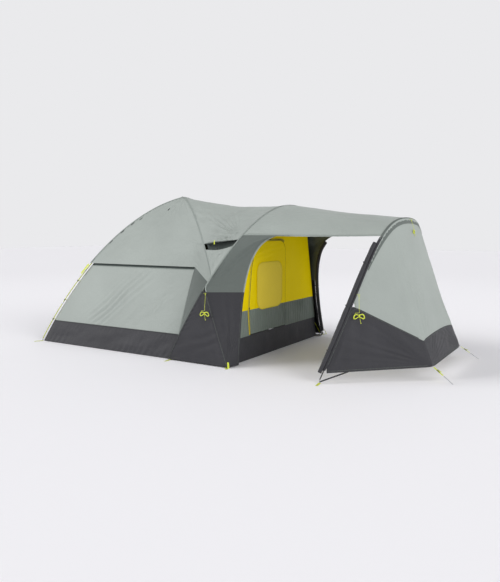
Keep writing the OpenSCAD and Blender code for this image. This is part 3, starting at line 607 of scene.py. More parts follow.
class Bag:
    """Closed forms that are gathered into one mesh."""

    def __init__(self) -> None:
        """Starts with nothing in it."""
        self.points: list[Array] = []
        self.faces: list[list[int]] = []
        self.count = 0

    def put(self, points: Array, faces: Sequence[Sequence[int]]) -> None:
        """Adds one closed form."""
        self.faces += [[self.count + i for i in face] for face in faces]
        self.points.append(np.asarray(points, float))
        self.count += len(points)

    def sweep(self, line: Array, side: Array, section: Array) -> None:
        """Adds a bar with the same section all along a line, closed at both ends.

        Args:
            line: The centreline.
            side: Where the section's first axis points.
            section: Corners (first axis, second axis), anticlockwise seen from ahead.
        """
        _, first, second = frames_along(line, side)
        n, m = len(line), len(section)
        offsets = first[:, None] * section[None, :, :1] + second[:, None] * section[None, :, 1:]
        rings = line[:, None] + offsets
        faces = [[i * m + j, i * m + (j + 1) % m, (i + 1) * m + (j + 1) % m, (i + 1) * m + j]
                 for i in range(n - 1) for j in range(m)]
        faces += [list(range(m - 1, -1, -1)), [(n - 1) * m + j for j in range(m)]]
        self.put(rings.reshape(-1, 3), faces)

    def rod(self, line: Array, radius: float, sides: int = 14) -> None:
        """Adds a round bar along a line."""
        angle = np.arange(sides) * 2 * math.pi / sides
        ahead = unit(line[-1] - line[0])
        side = np.array([0.0, 0.0, 1.0]) if abs(ahead[2]) < 0.9 else np.array([1.0, 0.3, 0.0])
        bend = np.cross(line[len(line) // 2] - line[0], line[-1] - line[0])
        side = bend if np.linalg.norm(bend) > 1e-5 else side
        self.sweep(line, side, radius * np.stack([np.cos(angle), np.sin(angle)], axis=1))

    def strip(self, line: Array, normal: Array, width: float, thick: float) -> None:
        """Adds a flat tape along a line, with rounded edges.

        Args:
            line: The line that it follows, on the surface.
            normal: The surface's normal, once or at each point.
            width: The tape's width.
            thick: Its thickness.
        """
        w, t = width / 2, thick / 2
        half = [(t, 0.9 * w), (0.5 * t, w), (-0.5 * t, w), (-t, 0.9 * w)]
        section = np.array(half + [(-a, -b) for a, b in half])[::-1]
        self.sweep(line, normal, section * [1, -1])

    def ring(self, centre: Array, axis: Array, radius: float, wire: float, cells: int = 28) -> None:
        """Adds a round ring of round wire."""
        axis = unit(np.asarray(axis, float))
        side = unit(np.cross(axis, [0.31, 0.52, 0.79]))
        up = np.cross(axis, side)
        sides = 10
        t = np.arange(cells)[:, None] * 2 * math.pi / cells
        out = side * np.cos(t) + up * np.sin(t)
        a = np.arange(sides) * 2 * math.pi / sides
        wide, tall = (radius + wire * np.cos(a))[None, :, None], (wire * np.sin(a))[None, :, None]
        rings = np.asarray(centre) + out[:, None] * wide + axis * tall
        faces = [[i * sides + j, ((i + 1) % cells) * sides + j, ((i + 1) % cells) * sides + (j + 1) % sides,
                  i * sides + (j + 1) % sides] for i in range(cells) for j in range(sides)]
        self.put(rings.reshape(-1, 3), faces)

    def overhand(self, place: Array, along: Array, diameter: float) -> None:
        """Adds a pulled-tight overhand knot: a trefoil of cord about its own line."""
        ahead = unit(np.asarray(along, float))
        side = unit(np.cross(ahead, [0.2, 0.9, 0.4]))
        up = np.cross(ahead, side)
        t = np.linspace(0, 2 * math.pi, 40, endpoint=False)
        wide = (1.15 + 0.55 * np.cos(3 * t)) * diameter
        places = np.stack([wide * np.cos(2 * t), wide * np.sin(2 * t), 0.9 * diameter * np.sin(3 * t)], axis=1)
        line = place + places @ np.array([side, up, ahead])
        self.rod(np.vstack([line, line[:1]]), 0.52 * diameter, 8)

    def piece(self, name: str, finish: Finish, body: str, slot: str | None = None,
              nodes: Sequence[str] = (), sharp_deg: float = 50.0) -> bpy.types.Object:
        """Makes the gathered forms one piece that rides on a body.

        Args:
            name: The piece's name.
            finish: Its material.
            body: The CAD body that it rides on.
            slot: The record's material slot, if it has one; not used.
            nodes: CAD nodes that it stands for.
            sharp_deg: Edges that turn more than this stay sharp.

        Returns:
            The object.
        """
        made = to_object(name, np.vstack(self.points), self.faces, finish, sharp_deg=sharp_deg)
        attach(made, body)
        if nodes:
            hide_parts(*nodes)
        log.info("%s: %d faces", name, len(self.faces))
        return made


# ---- The tent's lines ----


@dataclass(frozen=True)
class Lines:
    """The curves that the poles, ridges and seams follow, from the tent's driving sizes."""

    floor_length: float = 3.05
    floor_width: float = 2.44
    peak: float = 1.94
    band: float = 0.275
    eave: float = 1.045
    eave_vent: float = 0.026
    seam_x: float = 0.77
    wall_x: float = 1.5
    wall_half: float = 1.08
    arch_x: float = 0.695
    arch_half: float = 1.232
    arch_height: float = 1.79
    arch_lean: float = 0.539
    arch_round: float = 2.3
    hoop_x: float = 2.632
    hoop_half: float = 1.3
    hoop_height: float = 1.616
    hoop_lean: float = 0.276
    awning_eave: float = 1.435
    end_x: float = 3.553
    end_half: float = 0.611
    end_lift: float = 0.145
    end_leg: float = 0.15
    end_dark_top: float = 0.74
    end_columns: tuple[float, float] = (-0.35, 0.42)
    vent_leg: float = 1.32
    vent_arch: float = 1.385
    gap: float = 0.0012
    leg_shape: tuple = ((1, 0), (0.735, 0.527), (0.355, 0.912), (0, 1))
    hoop_shape: tuple = ((1, 0), (0.55, 0.751), (0.734, 1), (0, 1))
    door_edge: tuple = ((1.575, -1.09, 0), (1.522, -0.932, 0.664), (1.444, -0.804, 1.503), (2.05, -0.8, 1.43))

    @property
    def radius(self) -> float:
        """Half the floor's diagonal."""
        return math.hypot(self.floor_length, self.floor_width) / 2

    @property
    def leg_x(self) -> float:
        """Share of a leg's radius that runs along X."""
        return self.floor_length / 2 / self.radius

    @property
    def leg_y(self) -> float:
        """Share of a leg's radius that runs along Y."""
        return self.floor_width / 2 / self.radius

    @property
    def ridge_top(self) -> float:
        """Height where the front corner's ridge meets the arch."""
        return self.eave - 0.195

    @property
    def gusset_low(self) -> float:
        """Height of the gusset's low edge."""
        return self.eave - 0.235

    def leg(self, u: Array, drop: float = 0.0) -> tuple[Array, Array]:
        """Radius and height of a main pole's leg, u being 0 at the foot and 1 at the crossing."""
        s = bezier(self.leg_shape, u)
        return s[..., 0] * (self.radius - drop), s[..., 1] * (self.peak - drop)

    def leg_u(self, z: Array | float) -> Array:
        """The leg's u at a height."""
        u = np.linspace(0, 1, 3001)
        return np.interp(z, self.leg(u)[1], u)

    def leg_r(self, z: Array | float) -> Array:
        """The leg's radius at a height."""
        return self.leg(self.leg_u(z))[0]

    def leg_point(self, u: Array, sx: int, sy: int, drop: float = 0.0) -> Array:
        """Points over a leg, where sx and sy pick the corner and drop goes inwards."""
        r, z = self.leg(np.asarray(u, float), drop)
        return np.stack([sx * r * self.leg_x, sy * r * self.leg_y, z], axis=-1)

    def arch_point(self, angle: Array, drop: float = 0.0) -> Array:
        """Points of the brow arch, from its far foot at 0 over the top to its near foot at pi."""
        c, s = np.cos(angle), np.clip(np.sin(angle), 0, 1)
        z = (self.arch_height - drop) * s ** (2 / self.arch_round)
        y = np.sign(c) * (self.arch_half - drop) * np.abs(c) ** (2 / self.arch_round)
        return np.stack([self.arch_x + self.arch_lean * z, y, z], axis=-1)

    def arch_angle(self, z: Array | float) -> Array:
        """The arch's angle at a height, on the far side."""
        return np.arcsin((np.asarray(z) / self.arch_height) ** (self.arch_round / 2))

    def arch_at(self, z: Array | float) -> Array:
        """The arch's near side at a height."""
        return self.arch_point(math.pi - self.arch_angle(np.maximum(z, 0.002)))

    def hoop_point(self, u: Array) -> Array:
        """Points of the hoop, u being 0 at its top, -1 at the near foot and 1 at the far foot."""
        s = bezier(self.hoop_shape, 1 - np.abs(u))
        z = s[..., 1] * self.hoop_height
        return np.stack([self.hoop_x + self.hoop_lean * z, np.sign(u) * s[..., 0] * self.hoop_half, z], axis=-1)

    def hoop_u(self, z: Array | float) -> Array:
        """The hoop's u at a height, on the far side."""
        t = np.linspace(0, 1, 3001)
        return 1 - np.interp(z, bezier(self.hoop_shape, t)[:, 1] * self.hoop_height, t)

    def seam_line(self, z: Array) -> Array:
        """X of the seam between the side wall and the quarter panel, which bends to the arch's foot."""
        return np.minimum(self.seam_x, self.arch_x - 0.03 + self.arch_lean * z)

    def side(self, f: Array, z: Array) -> Array:
        """Points of the near side wall, f across it from the rear corner to the seam."""
        r = self.leg_r(z)
        rear = -(r - 0.048 + 0.014 * np.clip(f / 0.03, 0, 1)) * self.leg_y
        x = -(r - 0.048) * self.leg_x
        return np.stack([x + (self.seam_line(z) - self.gap - x) * f, rear, z + 0 * f], axis=-1)

    def rear(self, f: Array, z: Array) -> Array:
        """Points of the rear wall, f across it from the near corner to the far one."""
        r = self.leg_r(z)
        tuck = np.clip(np.minimum(f, 1 - f) / 0.03, 0, 1)
        x = -(r - 0.048 + 0.014 * tuck) * self.leg_x
        return np.stack([x, (2 * f - 1) * (r - 0.048) * self.leg_y, z + 0 * f], axis=-1)

    def roof(self, f: Array, v: Array) -> Array:
        """Points of the near roof panel, f from -1 at the rear leg to 1 at the front one."""
        foot, high = float(self.leg_u(self.eave + 0.0045)), float(self.leg_u(self.peak - 0.003))
        deep = float(self.leg_u(self.gusset_low))
        tail = self.roof_tail
        low = np.where(f > tail, foot + (deep - foot) * np.clip((f - tail) / (1 - tail), 0, 1), foot)
        r, z = self.leg(low + (high - low) * v)
        sag = -0.022 * r * (1 - f * f) * np.minimum(1, 3 * v)
        return np.stack([f * (r * self.leg_x - 0.001), -r * self.leg_y - sag, z + 0.6 * sag], axis=-1)

    @property
    def roof_tail(self) -> float:
        """Where the roof's low edge turns down towards the front leg."""
        return self.seam_x / (float(self.leg_r(self.eave + 0.006)) * self.leg_x)

    def quarter(self, u: Array, v: Array) -> Array:
        """Points of the quarter panel, u from the wall's seam to the arch and v up to the roof's tail."""
        hem, end = 0.012, self.gusset_low - 0.001
        z = hem + (self.eave + 0.002 - hem) * v
        a = np.stack([self.seam_line(z), -(self.leg_r(z) - 0.034) * self.leg_y - 0.004, z], axis=-1)
        b = self.arch_at(hem + (end - hem) * v) - [self.gap, 0, 0]
        turn = 0.6
        tail = self.roof(self.roof_tail + (1 - self.roof_tail) * np.clip(u / turn, 0, 1), 0 * u)
        leg = self.leg_point(self.leg_u(self.gusset_low) + 0 * u, 1, -1)
        low = lerp(leg, self.arch_at(end), np.clip((u - turn) / (1 - turn), 0, 1))
        top = np.where((u < turn)[..., None], tail, low)
        straight = lerp(a[:, -1:], b[:, -1:], u)
        return lerp(a, b, u) + (top - straight) * (v**3)[..., None]

    def ridge(self, z: Array | float) -> Array:
        """The ridge from the front corner up to the arch."""
        foot = np.array([self.floor_length / 2 + 0.012, -self.floor_width / 2 - 0.018, 0.0])
        return lerp(foot, self.arch_at(self.ridge_top), np.asarray(z) / self.ridge_top)

    def door_point(self, z: Array | float) -> Array:
        """The near wing's free edge at a height."""
        u = np.linspace(0, 0.86, 2001)
        return bezier(self.door_edge, np.interp(z, bezier(self.door_edge, u)[:, 2], u))

    def wing_root(self, z: Array) -> Array:
        """Where a wing is sewn at a height: to the ridge, and above it to the arch."""
        on_ridge = self.ridge(z) + [0.004, 0, 0]
        on_arch = self.arch_at(z) + [self.gap, 0, 0]
        return np.where((z < self.ridge_top)[..., None], on_ridge, on_arch)

    def wing(self, u: Array, z: Array) -> Array:
        """Points of a wing, u across it from its root to its free edge."""
        return lerp(self.wing_root(z), self.door_point(z), u)

    def saddle(self, s: Array, v: Array) -> Array:
        """Points of the roof between the front legs and the arch, s from the far vent to the near one."""
        w, side = np.abs(s), np.sign(s)
        top, vent = float(self.leg_u(self.peak - 0.004)), float(self.leg_u(self.vent_leg))
        a = self.leg_point(top + (vent - top) * w, 1, -1) + [0.001, 0, 0]
        a[..., 1] = np.where(w < 1e-6, 0.0, a[..., 1])
        half = math.pi / 2
        turn = half + (float(self.arch_angle(self.vent_arch)) - half) * w
        q = self.arch_point(math.pi - turn) - [0.001, 0, 0]
        b = lerp(a, q, v)
        sag = 0.062 * 4 * v * (1 - v) * (1 - w * w)
        return np.stack([b[..., 0], side * b[..., 1], b[..., 2] - sag], axis=-1)

    def gusset(self, u: Array, v: Array) -> Array:
        """Points of the near triangle under the vent, u down it and v from the leg to the arch."""
        vent, cross = float(self.leg_u(self.vent_leg)), float(self.leg_u(self.ridge_top))
        a = self.leg_point(vent + (cross - vent) * u, 1, -1) + [0.001, 0, 0]
        high, low = float(self.arch_angle(self.vent_arch)), float(self.arch_angle(self.gusset_low))
        b = self.arch_point(math.pi - (high + (low - high) * u)) - [0.001, 0, 0]
        return lerp(a, b, v)

    @property
    def vent(self) -> tuple[Array, Array, Array, Array, Array]:
        """The vent's two ends, its axis, and the directions down and out of its panel."""
        corners = ((0.0, 0.1), (0.0, 0.9), (1.0, 0.5), (0.0, 0.5))
        start, end, foot, top = (self.gusset(np.array(u), np.array(v)) for u, v in corners)
        axis, down = unit(end - start), unit(foot - top)
        return start, end, axis, down, unit(np.cross(down, axis))

    def hood(self, u: Array, v: Array) -> Array:
        """Points of the vent's hood, u along its hinge and v out over the vent."""
        start, end, _, down, out = self.vent
        reach = 0.075 * v * (0.25 + 3.0 * u * (1 - u))
        tilt = math.radians(68)
        proud = 0.002 + 0.012 * np.clip(v * 4, 0, 1) + reach * math.sin(tilt)
        drop = 0.008 * np.clip(v * 8, 0, 1) + reach * math.cos(tilt)
        return lerp(start, end, u) + out * proud[..., None] + down * drop[..., None]

    def awning(self, s: Array, v: Array) -> Array:
        """Points of the awning's roof, s from its far eave to its near one and v from arch to hoop."""
        w, half = np.abs(s), math.pi / 2
        q = self.arch_point(half + (float(self.arch_angle(self.awning_eave)) - half) * w)
        side = np.sign(s)
        a = np.stack([q[..., 0] + self.gap, side * np.abs(q[..., 1]), q[..., 2]], axis=-1)
        h = self.hoop_point(-side * w * float(self.hoop_u(self.awning_eave - 0.01)))
        h = np.stack([h[..., 0] - 0.012, -h[..., 1], h[..., 2] + 0.006], axis=-1)
        c = lerp(a, h, v)
        return c - np.stack([0 * v, 0 * v, 0.01 * 4 * v * (1 - v)], axis=-1)

    def front_half(self, z: Array | float) -> Array | float:
        """Half the inner tent's width at its front, at a height."""
        foot = self.wall_half - 0.006
        return foot + (0.75 - foot) * z / self.awning_eave

    def end_top(self, q: Array) -> Array:
        """Where a column of the end panel hangs from the hoop: q is 0 at the near leg, 3 at the far one."""
        foot = float(self.hoop_u(self.end_leg))
        u = np.interp(q, [0, 1, 2, 3], [-foot, *self.end_columns, foot])
        return self.hoop_point(u) + [0.0145, 0, 0]

    def end_hem(self, q: Array) -> Array:
        """Where the same column meets the hem."""
        low = float(self.hoop_u(0.105))
        near, far = (self.hoop_point(np.array(k * low)) + [0.0365, 0, 0] for k in (-1, 1))
        knots = np.array([near, [self.end_x, -self.end_half, self.end_lift],
                          [self.end_x, self.end_half, self.end_lift], far])
        return np.stack([np.interp(q, [0, 1, 2, 3], knots[:, k]) for k in range(3)], axis=-1)

    def end_split(self, q: Array) -> Array:
        """Share of a column above the dark cloth."""
        near, far = self.end_dark
        split = 0.81

        def share(leg_q: float, crease_q: float, out: Array) -> Array:
            """Where columns cross the straight edge from the leg to a crease."""
            a = self.end_top(np.array(leg_q))
            top, hem = self.end_top(np.array(crease_q)), self.end_hem(np.array(crease_q))
            n = np.cross(lerp(top, hem, split) - a, out)
            return np.maximum(0, (a - self.end_top(q)) @ n / ((self.end_hem(q) - self.end_top(q)) @ n))

        left = share(near, 1, np.array([0.5, -0.86, 0]))
        right = share(far, 2, np.array([0.5, 0.86, 0]))
        inner = np.where(q < 1, left, np.where(q <= 2, split, right))
        return np.where((q <= near) | (q >= far), 0.0, inner)

    @property
    def end_dark(self) -> tuple[float, float]:
        """Columns where the dark cloth's edge meets the hoop's near and far legs."""
        foot, dark = float(self.hoop_u(self.end_leg)), float(self.hoop_u(self.end_dark_top))
        near, far = self.end_columns
        return (foot - dark) / (foot + near), 3 - (foot - dark) / (foot - far)


LINES = Lines()


# ---- Folds and panels ----


def wander(x: Array, y: Array, seed: int) -> Array:
    """Smooth random waves about one unit wide, from -1 to 1.

    Args:
        x: First coordinate.
        y: Second coordinate.
        seed: Picks the pattern.

    Returns:
        The height at each place.
    """
    table = np.random.default_rng(seed).uniform(-1, 1, (64, 64))
    i, j = np.floor(x).astype(int), np.floor(y).astype(int)
    fx, fy = x - i, y - j
    fx, fy = fx * fx * (3 - 2 * fx), fy * fy * (3 - 2 * fy)
    a, b = table[i % 64, j % 64], table[(i + 1) % 64, j % 64]
    c, d = table[i % 64, (j + 1) % 64], table[(i + 1) % 64, (j + 1) % 64]
    return (a * (1 - fx) + b * fx) * (1 - fy) + (c * (1 - fx) + d * fx) * fy


@dataclass
class Patch:
    """A smooth panel before it is wrinkled: its points, normals, cut and distances to its edges."""

    points: Array
    normal: Array
    cut: Array
    edges: dict[str, Array]
    size: tuple[float, float]
    area: float

    @staticmethod
    def of(points: Array) -> "Patch":
        """Measures a grid of points.

        Args:
            points: The grid, (across, up, 3).

        Returns:
            The measured patch.
        """
        du, dv = np.gradient(points, axis=0), np.gradient(points, axis=1)
        normal = unit(np.cross(du, dv))
        across = np.linalg.norm(np.diff(points, axis=0), axis=2)
        up = np.linalg.norm(np.diff(points, axis=1), axis=2)
        left = np.vstack([np.zeros((1, across.shape[1])), np.cumsum(across, axis=0)])
        low = np.hstack([np.zeros((up.shape[0], 1)), np.cumsum(up, axis=1)])
        wide, tall = left[-1], low[:, -1]
        middle = low[len(low) // 2]
        cut = np.stack([left - wide / 2, np.broadcast_to(middle, left.shape)], axis=-1)
        corner = points[:-1, :-1]
        cell = np.linalg.norm(np.cross(points[1:, :-1] - corner, points[:-1, 1:] - corner), axis=2)
        edges = {"left": left, "right": wide - left, "low": low, "high": tall[:, None] - low}
        return Patch(points, normal, cut, edges, (float(wide.max()), float(tall.max())), float(cell.sum()))

    def near(self, names: Sequence[str]) -> Array:
        """Distance to the nearest of some edges."""
        return np.minimum.reduce([self.edges[n] for n in names])


class Fold:
    """A kind of wrinkle. Its height is measured along the panel's normal."""

    def height(self, patch: Patch) -> Array:
        """The wrinkle's height at each of the patch's points."""
        raise NotImplementedError


@dataclass(frozen=True)
class Swell(Fold):
    """Broad soft waves of slack cloth that die out towards the seams."""

    rise: float
    size: float
    seed: int
    stretch: float = 1.0

    def height(self, patch: Patch) -> Array:
        """Random waves, quiet within half a wave of an edge."""
        x, y = patch.cut[..., 0] / self.size, patch.cut[..., 1] / self.size * self.stretch
        wave = wander(x + 31, y + 17, self.seed) + 0.4 * wander(2.3 * x + 5, 2.3 * y + 9, self.seed + 1)
        rim = np.clip(patch.near(("left", "right", "low", "high")) / (0.5 * self.size), 0, 1)
        return self.rise * wave * rim**1.3


@dataclass(frozen=True)
class Puckers(Fold):
    """Small gathers that sewing leaves square to a seam."""

    rise: float
    pitch: float
    reach: float
    edges: tuple[str, ...]
    seed: int

    def height(self, patch: Patch) -> Array:
        """Ripples along each named edge, fading with distance from it."""
        total = np.zeros(patch.points.shape[:2])
        for k, name in enumerate(self.edges):
            along = patch.edges["low" if name in ("left", "right") else "left"]
            away = patch.edges[name]
            drift = wander(along / 0.21, away / 0.3 + 7 * k, self.seed + k)
            phase = along / self.pitch * 2 * math.pi + 2.2 * drift
            size = 0.55 + 0.6 * wander(along / 0.16 + 3, away * 0 + 11 * k, self.seed + 20 + k)
            total += np.cos(phase) * size * np.exp(-away / self.reach) * (1 - np.exp(-away / 0.008))
        return self.rise * total


@dataclass(frozen=True)
class Pull(Fold):
    """Tension folds that run side by side from one point of the panel to another."""

    start: tuple[float, float, float]
    end: tuple[float, float, float]
    width: float
    pitch: float
    rise: float
    seed: int

    def height(self, patch: Patch) -> Array:
        """Ridges along the line between the points, dying out to both sides and ends."""
        a, b = np.array(self.start), np.array(self.end)
        axis = b - a
        long = np.linalg.norm(axis)
        ahead = axis / long
        facing = patch.normal.reshape(-1, 3).mean(axis=0)
        side = unit(np.cross(facing, ahead))
        t = (patch.points - a) @ ahead / long
        d = (patch.points - a) @ side
        bend = 0.35 * self.pitch * wander(t * 3 + 4, d / self.width + 2, self.seed)
        ridge = np.cos(2 * math.pi * (d + bend) / self.pitch)
        ridge = ridge * (0.65 + 0.35 * wander(t * 4, d / self.pitch / 1.7, self.seed + 3))
        along = np.clip(np.minimum(t + 0.12, 1.12 - t) / 0.3, 0, 1)
        rim = 1 - np.exp(-patch.near(("left", "right", "low", "high")) / 0.025)
        return self.rise * ridge * np.exp(-((d / self.width) ** 2)) * along * along * (3 - 2 * along) * rim


@dataclass(frozen=True)
class Fan(Fold):
    """Folds that spread from a point where the cloth is held."""

    apex: tuple[float, float, float]
    toward: tuple[float, float, float]
    spread_deg: float
    count: float
    rise: float
    reach: float
    seed: int

    def height(self, patch: Patch) -> Array:
        """Ridges that widen away from the apex and die out at the reach."""
        apex = np.array(self.apex)
        facing = patch.normal.reshape(-1, 3).mean(axis=0)
        ahead = unit(np.array(self.toward) - apex)
        side = unit(np.cross(facing, ahead))
        ahead = np.cross(side, facing)
        x, y = (patch.points - apex) @ ahead, (patch.points - apex) @ side
        r, angle = np.hypot(x, y), np.degrees(np.arctan2(y, x))
        bend = 0.5 * wander(angle / 9 + 3, r / 0.35, self.seed)
        ridge = np.cos(2 * math.pi * (angle / self.spread_deg * self.count + bend))
        ridge = ridge * (0.6 + 0.4 * wander(angle / self.spread_deg * self.count * 0.8, r / 0.4, self.seed + 5))
        inside = np.exp(-((angle / self.spread_deg * 1.6) ** 4))
        body = np.clip(r / 0.05, 0, 1) * np.exp(-((r / self.reach) ** 2))
        rim = 1 - np.exp(-patch.near(("left", "right", "low", "high")) / 0.018)
        return self.rise * ridge * inside * body * np.minimum(r / (0.35 * self.reach), 1) ** 0.6 * rim


@dataclass(frozen=True)
class Crease(Fold):
    """A sharp packing crease or sewn-in line across the panel."""

    start: tuple[float, float, float]
    end: tuple[float, float, float]
    rise: float
    width: float = 0.014

    def height(self, patch: Patch) -> Array:
        """A narrow ridge along the line, or a valley where the rise is negative."""
        a, b = np.array(self.start), np.array(self.end)
        ahead = unit(b - a)
        away = patch.points - a
        t = away @ ahead
        d = np.linalg.norm(away - t[..., None] * ahead, axis=-1)
        ends = np.clip(np.minimum(t, np.linalg.norm(b - a) - t) / 0.06 + 0.5, 0, 1)
        return self.rise * np.exp(-np.abs(d) / self.width) * ends


class Side(Enum):
    """Which side of the tent a panel is on. The value scales Y."""

    NEAR = 1
    FAR = -1


SIDES = (("near", Side.NEAR), ("far", Side.FAR))


class Hold(Enum):
    """How a panel is held."""

    STRETCHED = "stretched"
    LAID = "laid"
    GATHERED = "gathered"


@dataclass
class Panel:
    """One cut of cloth, sewn into the tent."""

    name: str
    surface: Surface
    across: int
    up: int
    finish: Finish
    nodes: tuple[str, ...]
    slot: str
    folds: tuple[Fold, ...] = ()
    side: Side = Side.NEAR
    body: str = TENT
    held: Hold = Hold.STRETCHED
    rests_on: tuple[str, ...] = ()
    thick: float = 0.0012
    made: bpy.types.Object | None = None
    grid: Array | None = None
    normal: Array | None = None

    def build(self) -> "Panel":
        """Returns:
            The panel itself, with its object and its final grid.
        """
        shares = (np.linspace(0, 1, cells + 1) for cells in (self.across, self.up))
        u, v = np.meshgrid(*shares, indexing="ij")
        patch = Patch.of(self.surface(u, v))
        rise = sum((f.height(patch) for f in self.folds), np.zeros(u.shape))
        points = patch.points + patch.normal * rise[..., None]
        if self.side is Side.FAR:
            points = (points * [1, -1, 1])[::-1]
        normal = unit(np.cross(np.gradient(points, axis=0), np.gradient(points, axis=1)))
        self.grid, self.normal = points, normal
        self.made = self.shell(points, normal, patch.cut)
        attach(self.made, self.body)
        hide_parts(*self.nodes)
        flat = tuple(round(s, 3) for s in patch.size)
        box = flat[0] * flat[1]
        min(max(patch.area, 0.31 * box), box)
        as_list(self.rests_on)
        log.info("%s: %.2f x %.2f m, %.2f m2", self.name, *patch.size, patch.area)
        return self

    def shell(self, points: Array, normal: Array, cut: Array) -> bpy.types.Object:
        """Closes the sheet into a thin shell.

        Args:
            points: The grid of the sheet's middle.
            normal: Its outward normals.
            cut: Places on the flat cloth.

        Returns:
            The shell's object.
        """
        nu, nv = points.shape[:2]
        index = np.arange(nu * nv).reshape(nu, nv)
        skin = nu * nv
        a, b, c, d = index[:-1, :-1], index[1:, :-1], index[1:, 1:], index[:-1, 1:]
        top = np.stack([a, b, c, d], axis=-1).reshape(-1, 4)
        under = top[:, ::-1] + skin
        rim = np.concatenate([index[:-1, 0], index[-1, :-1], index[:0:-1, -1], index[0, :0:-1]])
        ahead = np.roll(rim, -1)
        wall = np.stack([rim, rim + skin, ahead + skin, ahead], axis=-1)
        both = np.concatenate([points + normal * self.thick / 2, points - normal * self.thick / 2])
        flat = np.concatenate([cut.reshape(-1, 2)] * 2)
        faces = np.vstack([top, under, wall]).tolist()
        return to_object(self.name, both.reshape(-1, 3), faces, self.finish, flat)

    def edge(self, name: str) -> tuple[Array, Array]:
        """A panel's edge and the cloth's normals along it.

        Args:
            name: left, right, low or high.

        Returns:
            The edge's points and normals.
        """
        pick = {"left": (0, slice(None)), "right": (-1, slice(None)), "low": (slice(None), 0),
                "high": (slice(None), -1)}[name]
        return self.grid[pick], self.normal[pick]


# ---- Sub-assemblies ----


# The record's material slot of each cloth
SLOTS = {FLY_LIGHT.name: "fly_light", FLY_PAINTED_SHADE.name: "fly_mid", FLY_SKIRT.name: "fly_mid",
         FLY_DARK.name: "fly_dark", MESH.name: "mesh", YELLOW.name: "wall_yellow", WINDOW.name: "window_mesh"}
MAIN_POLES = ("main_pole_1", "main_pole_2")
ARCH = ("arch_pole",)
HOOP = ("hoop_pole",)


@dataclass
class SoftGoods:
    """A sub-assembly that is sewn from panels on the tent's lines."""

    lines: Lines = LINES
    panels: dict[str, Panel] = field(default_factory=dict)

    def sew(self, name: str, surface: Surface, cells: tuple[int, int], finish: Finish,
            folds: tuple[Fold, ...] = (), side: Side = Side.NEAR, node: str | None = None,
            slot: str | None = None, **more: object) -> Panel:
        """Builds a panel and keeps it under its name.

        Args:
            name: The piece's name.
            surface: Its surface, before its wrinkles.
            cells: Cells across and up.
            finish: Its cloth.
            folds: Its wrinkles.
            side: Which side it is on.
            node: The CAD node that it stands for, where that has another name.
            slot: Its material slot, where the cloth's own isn't meant.
            **more: The panel's other fields.

        Returns:
            The panel.
        """
        panel = Panel(name, surface, *cells, finish, (node or name,), slot or SLOTS[finish.name], folds, side,
                      **more)
        self.panels[name] = panel.build()
        return panel


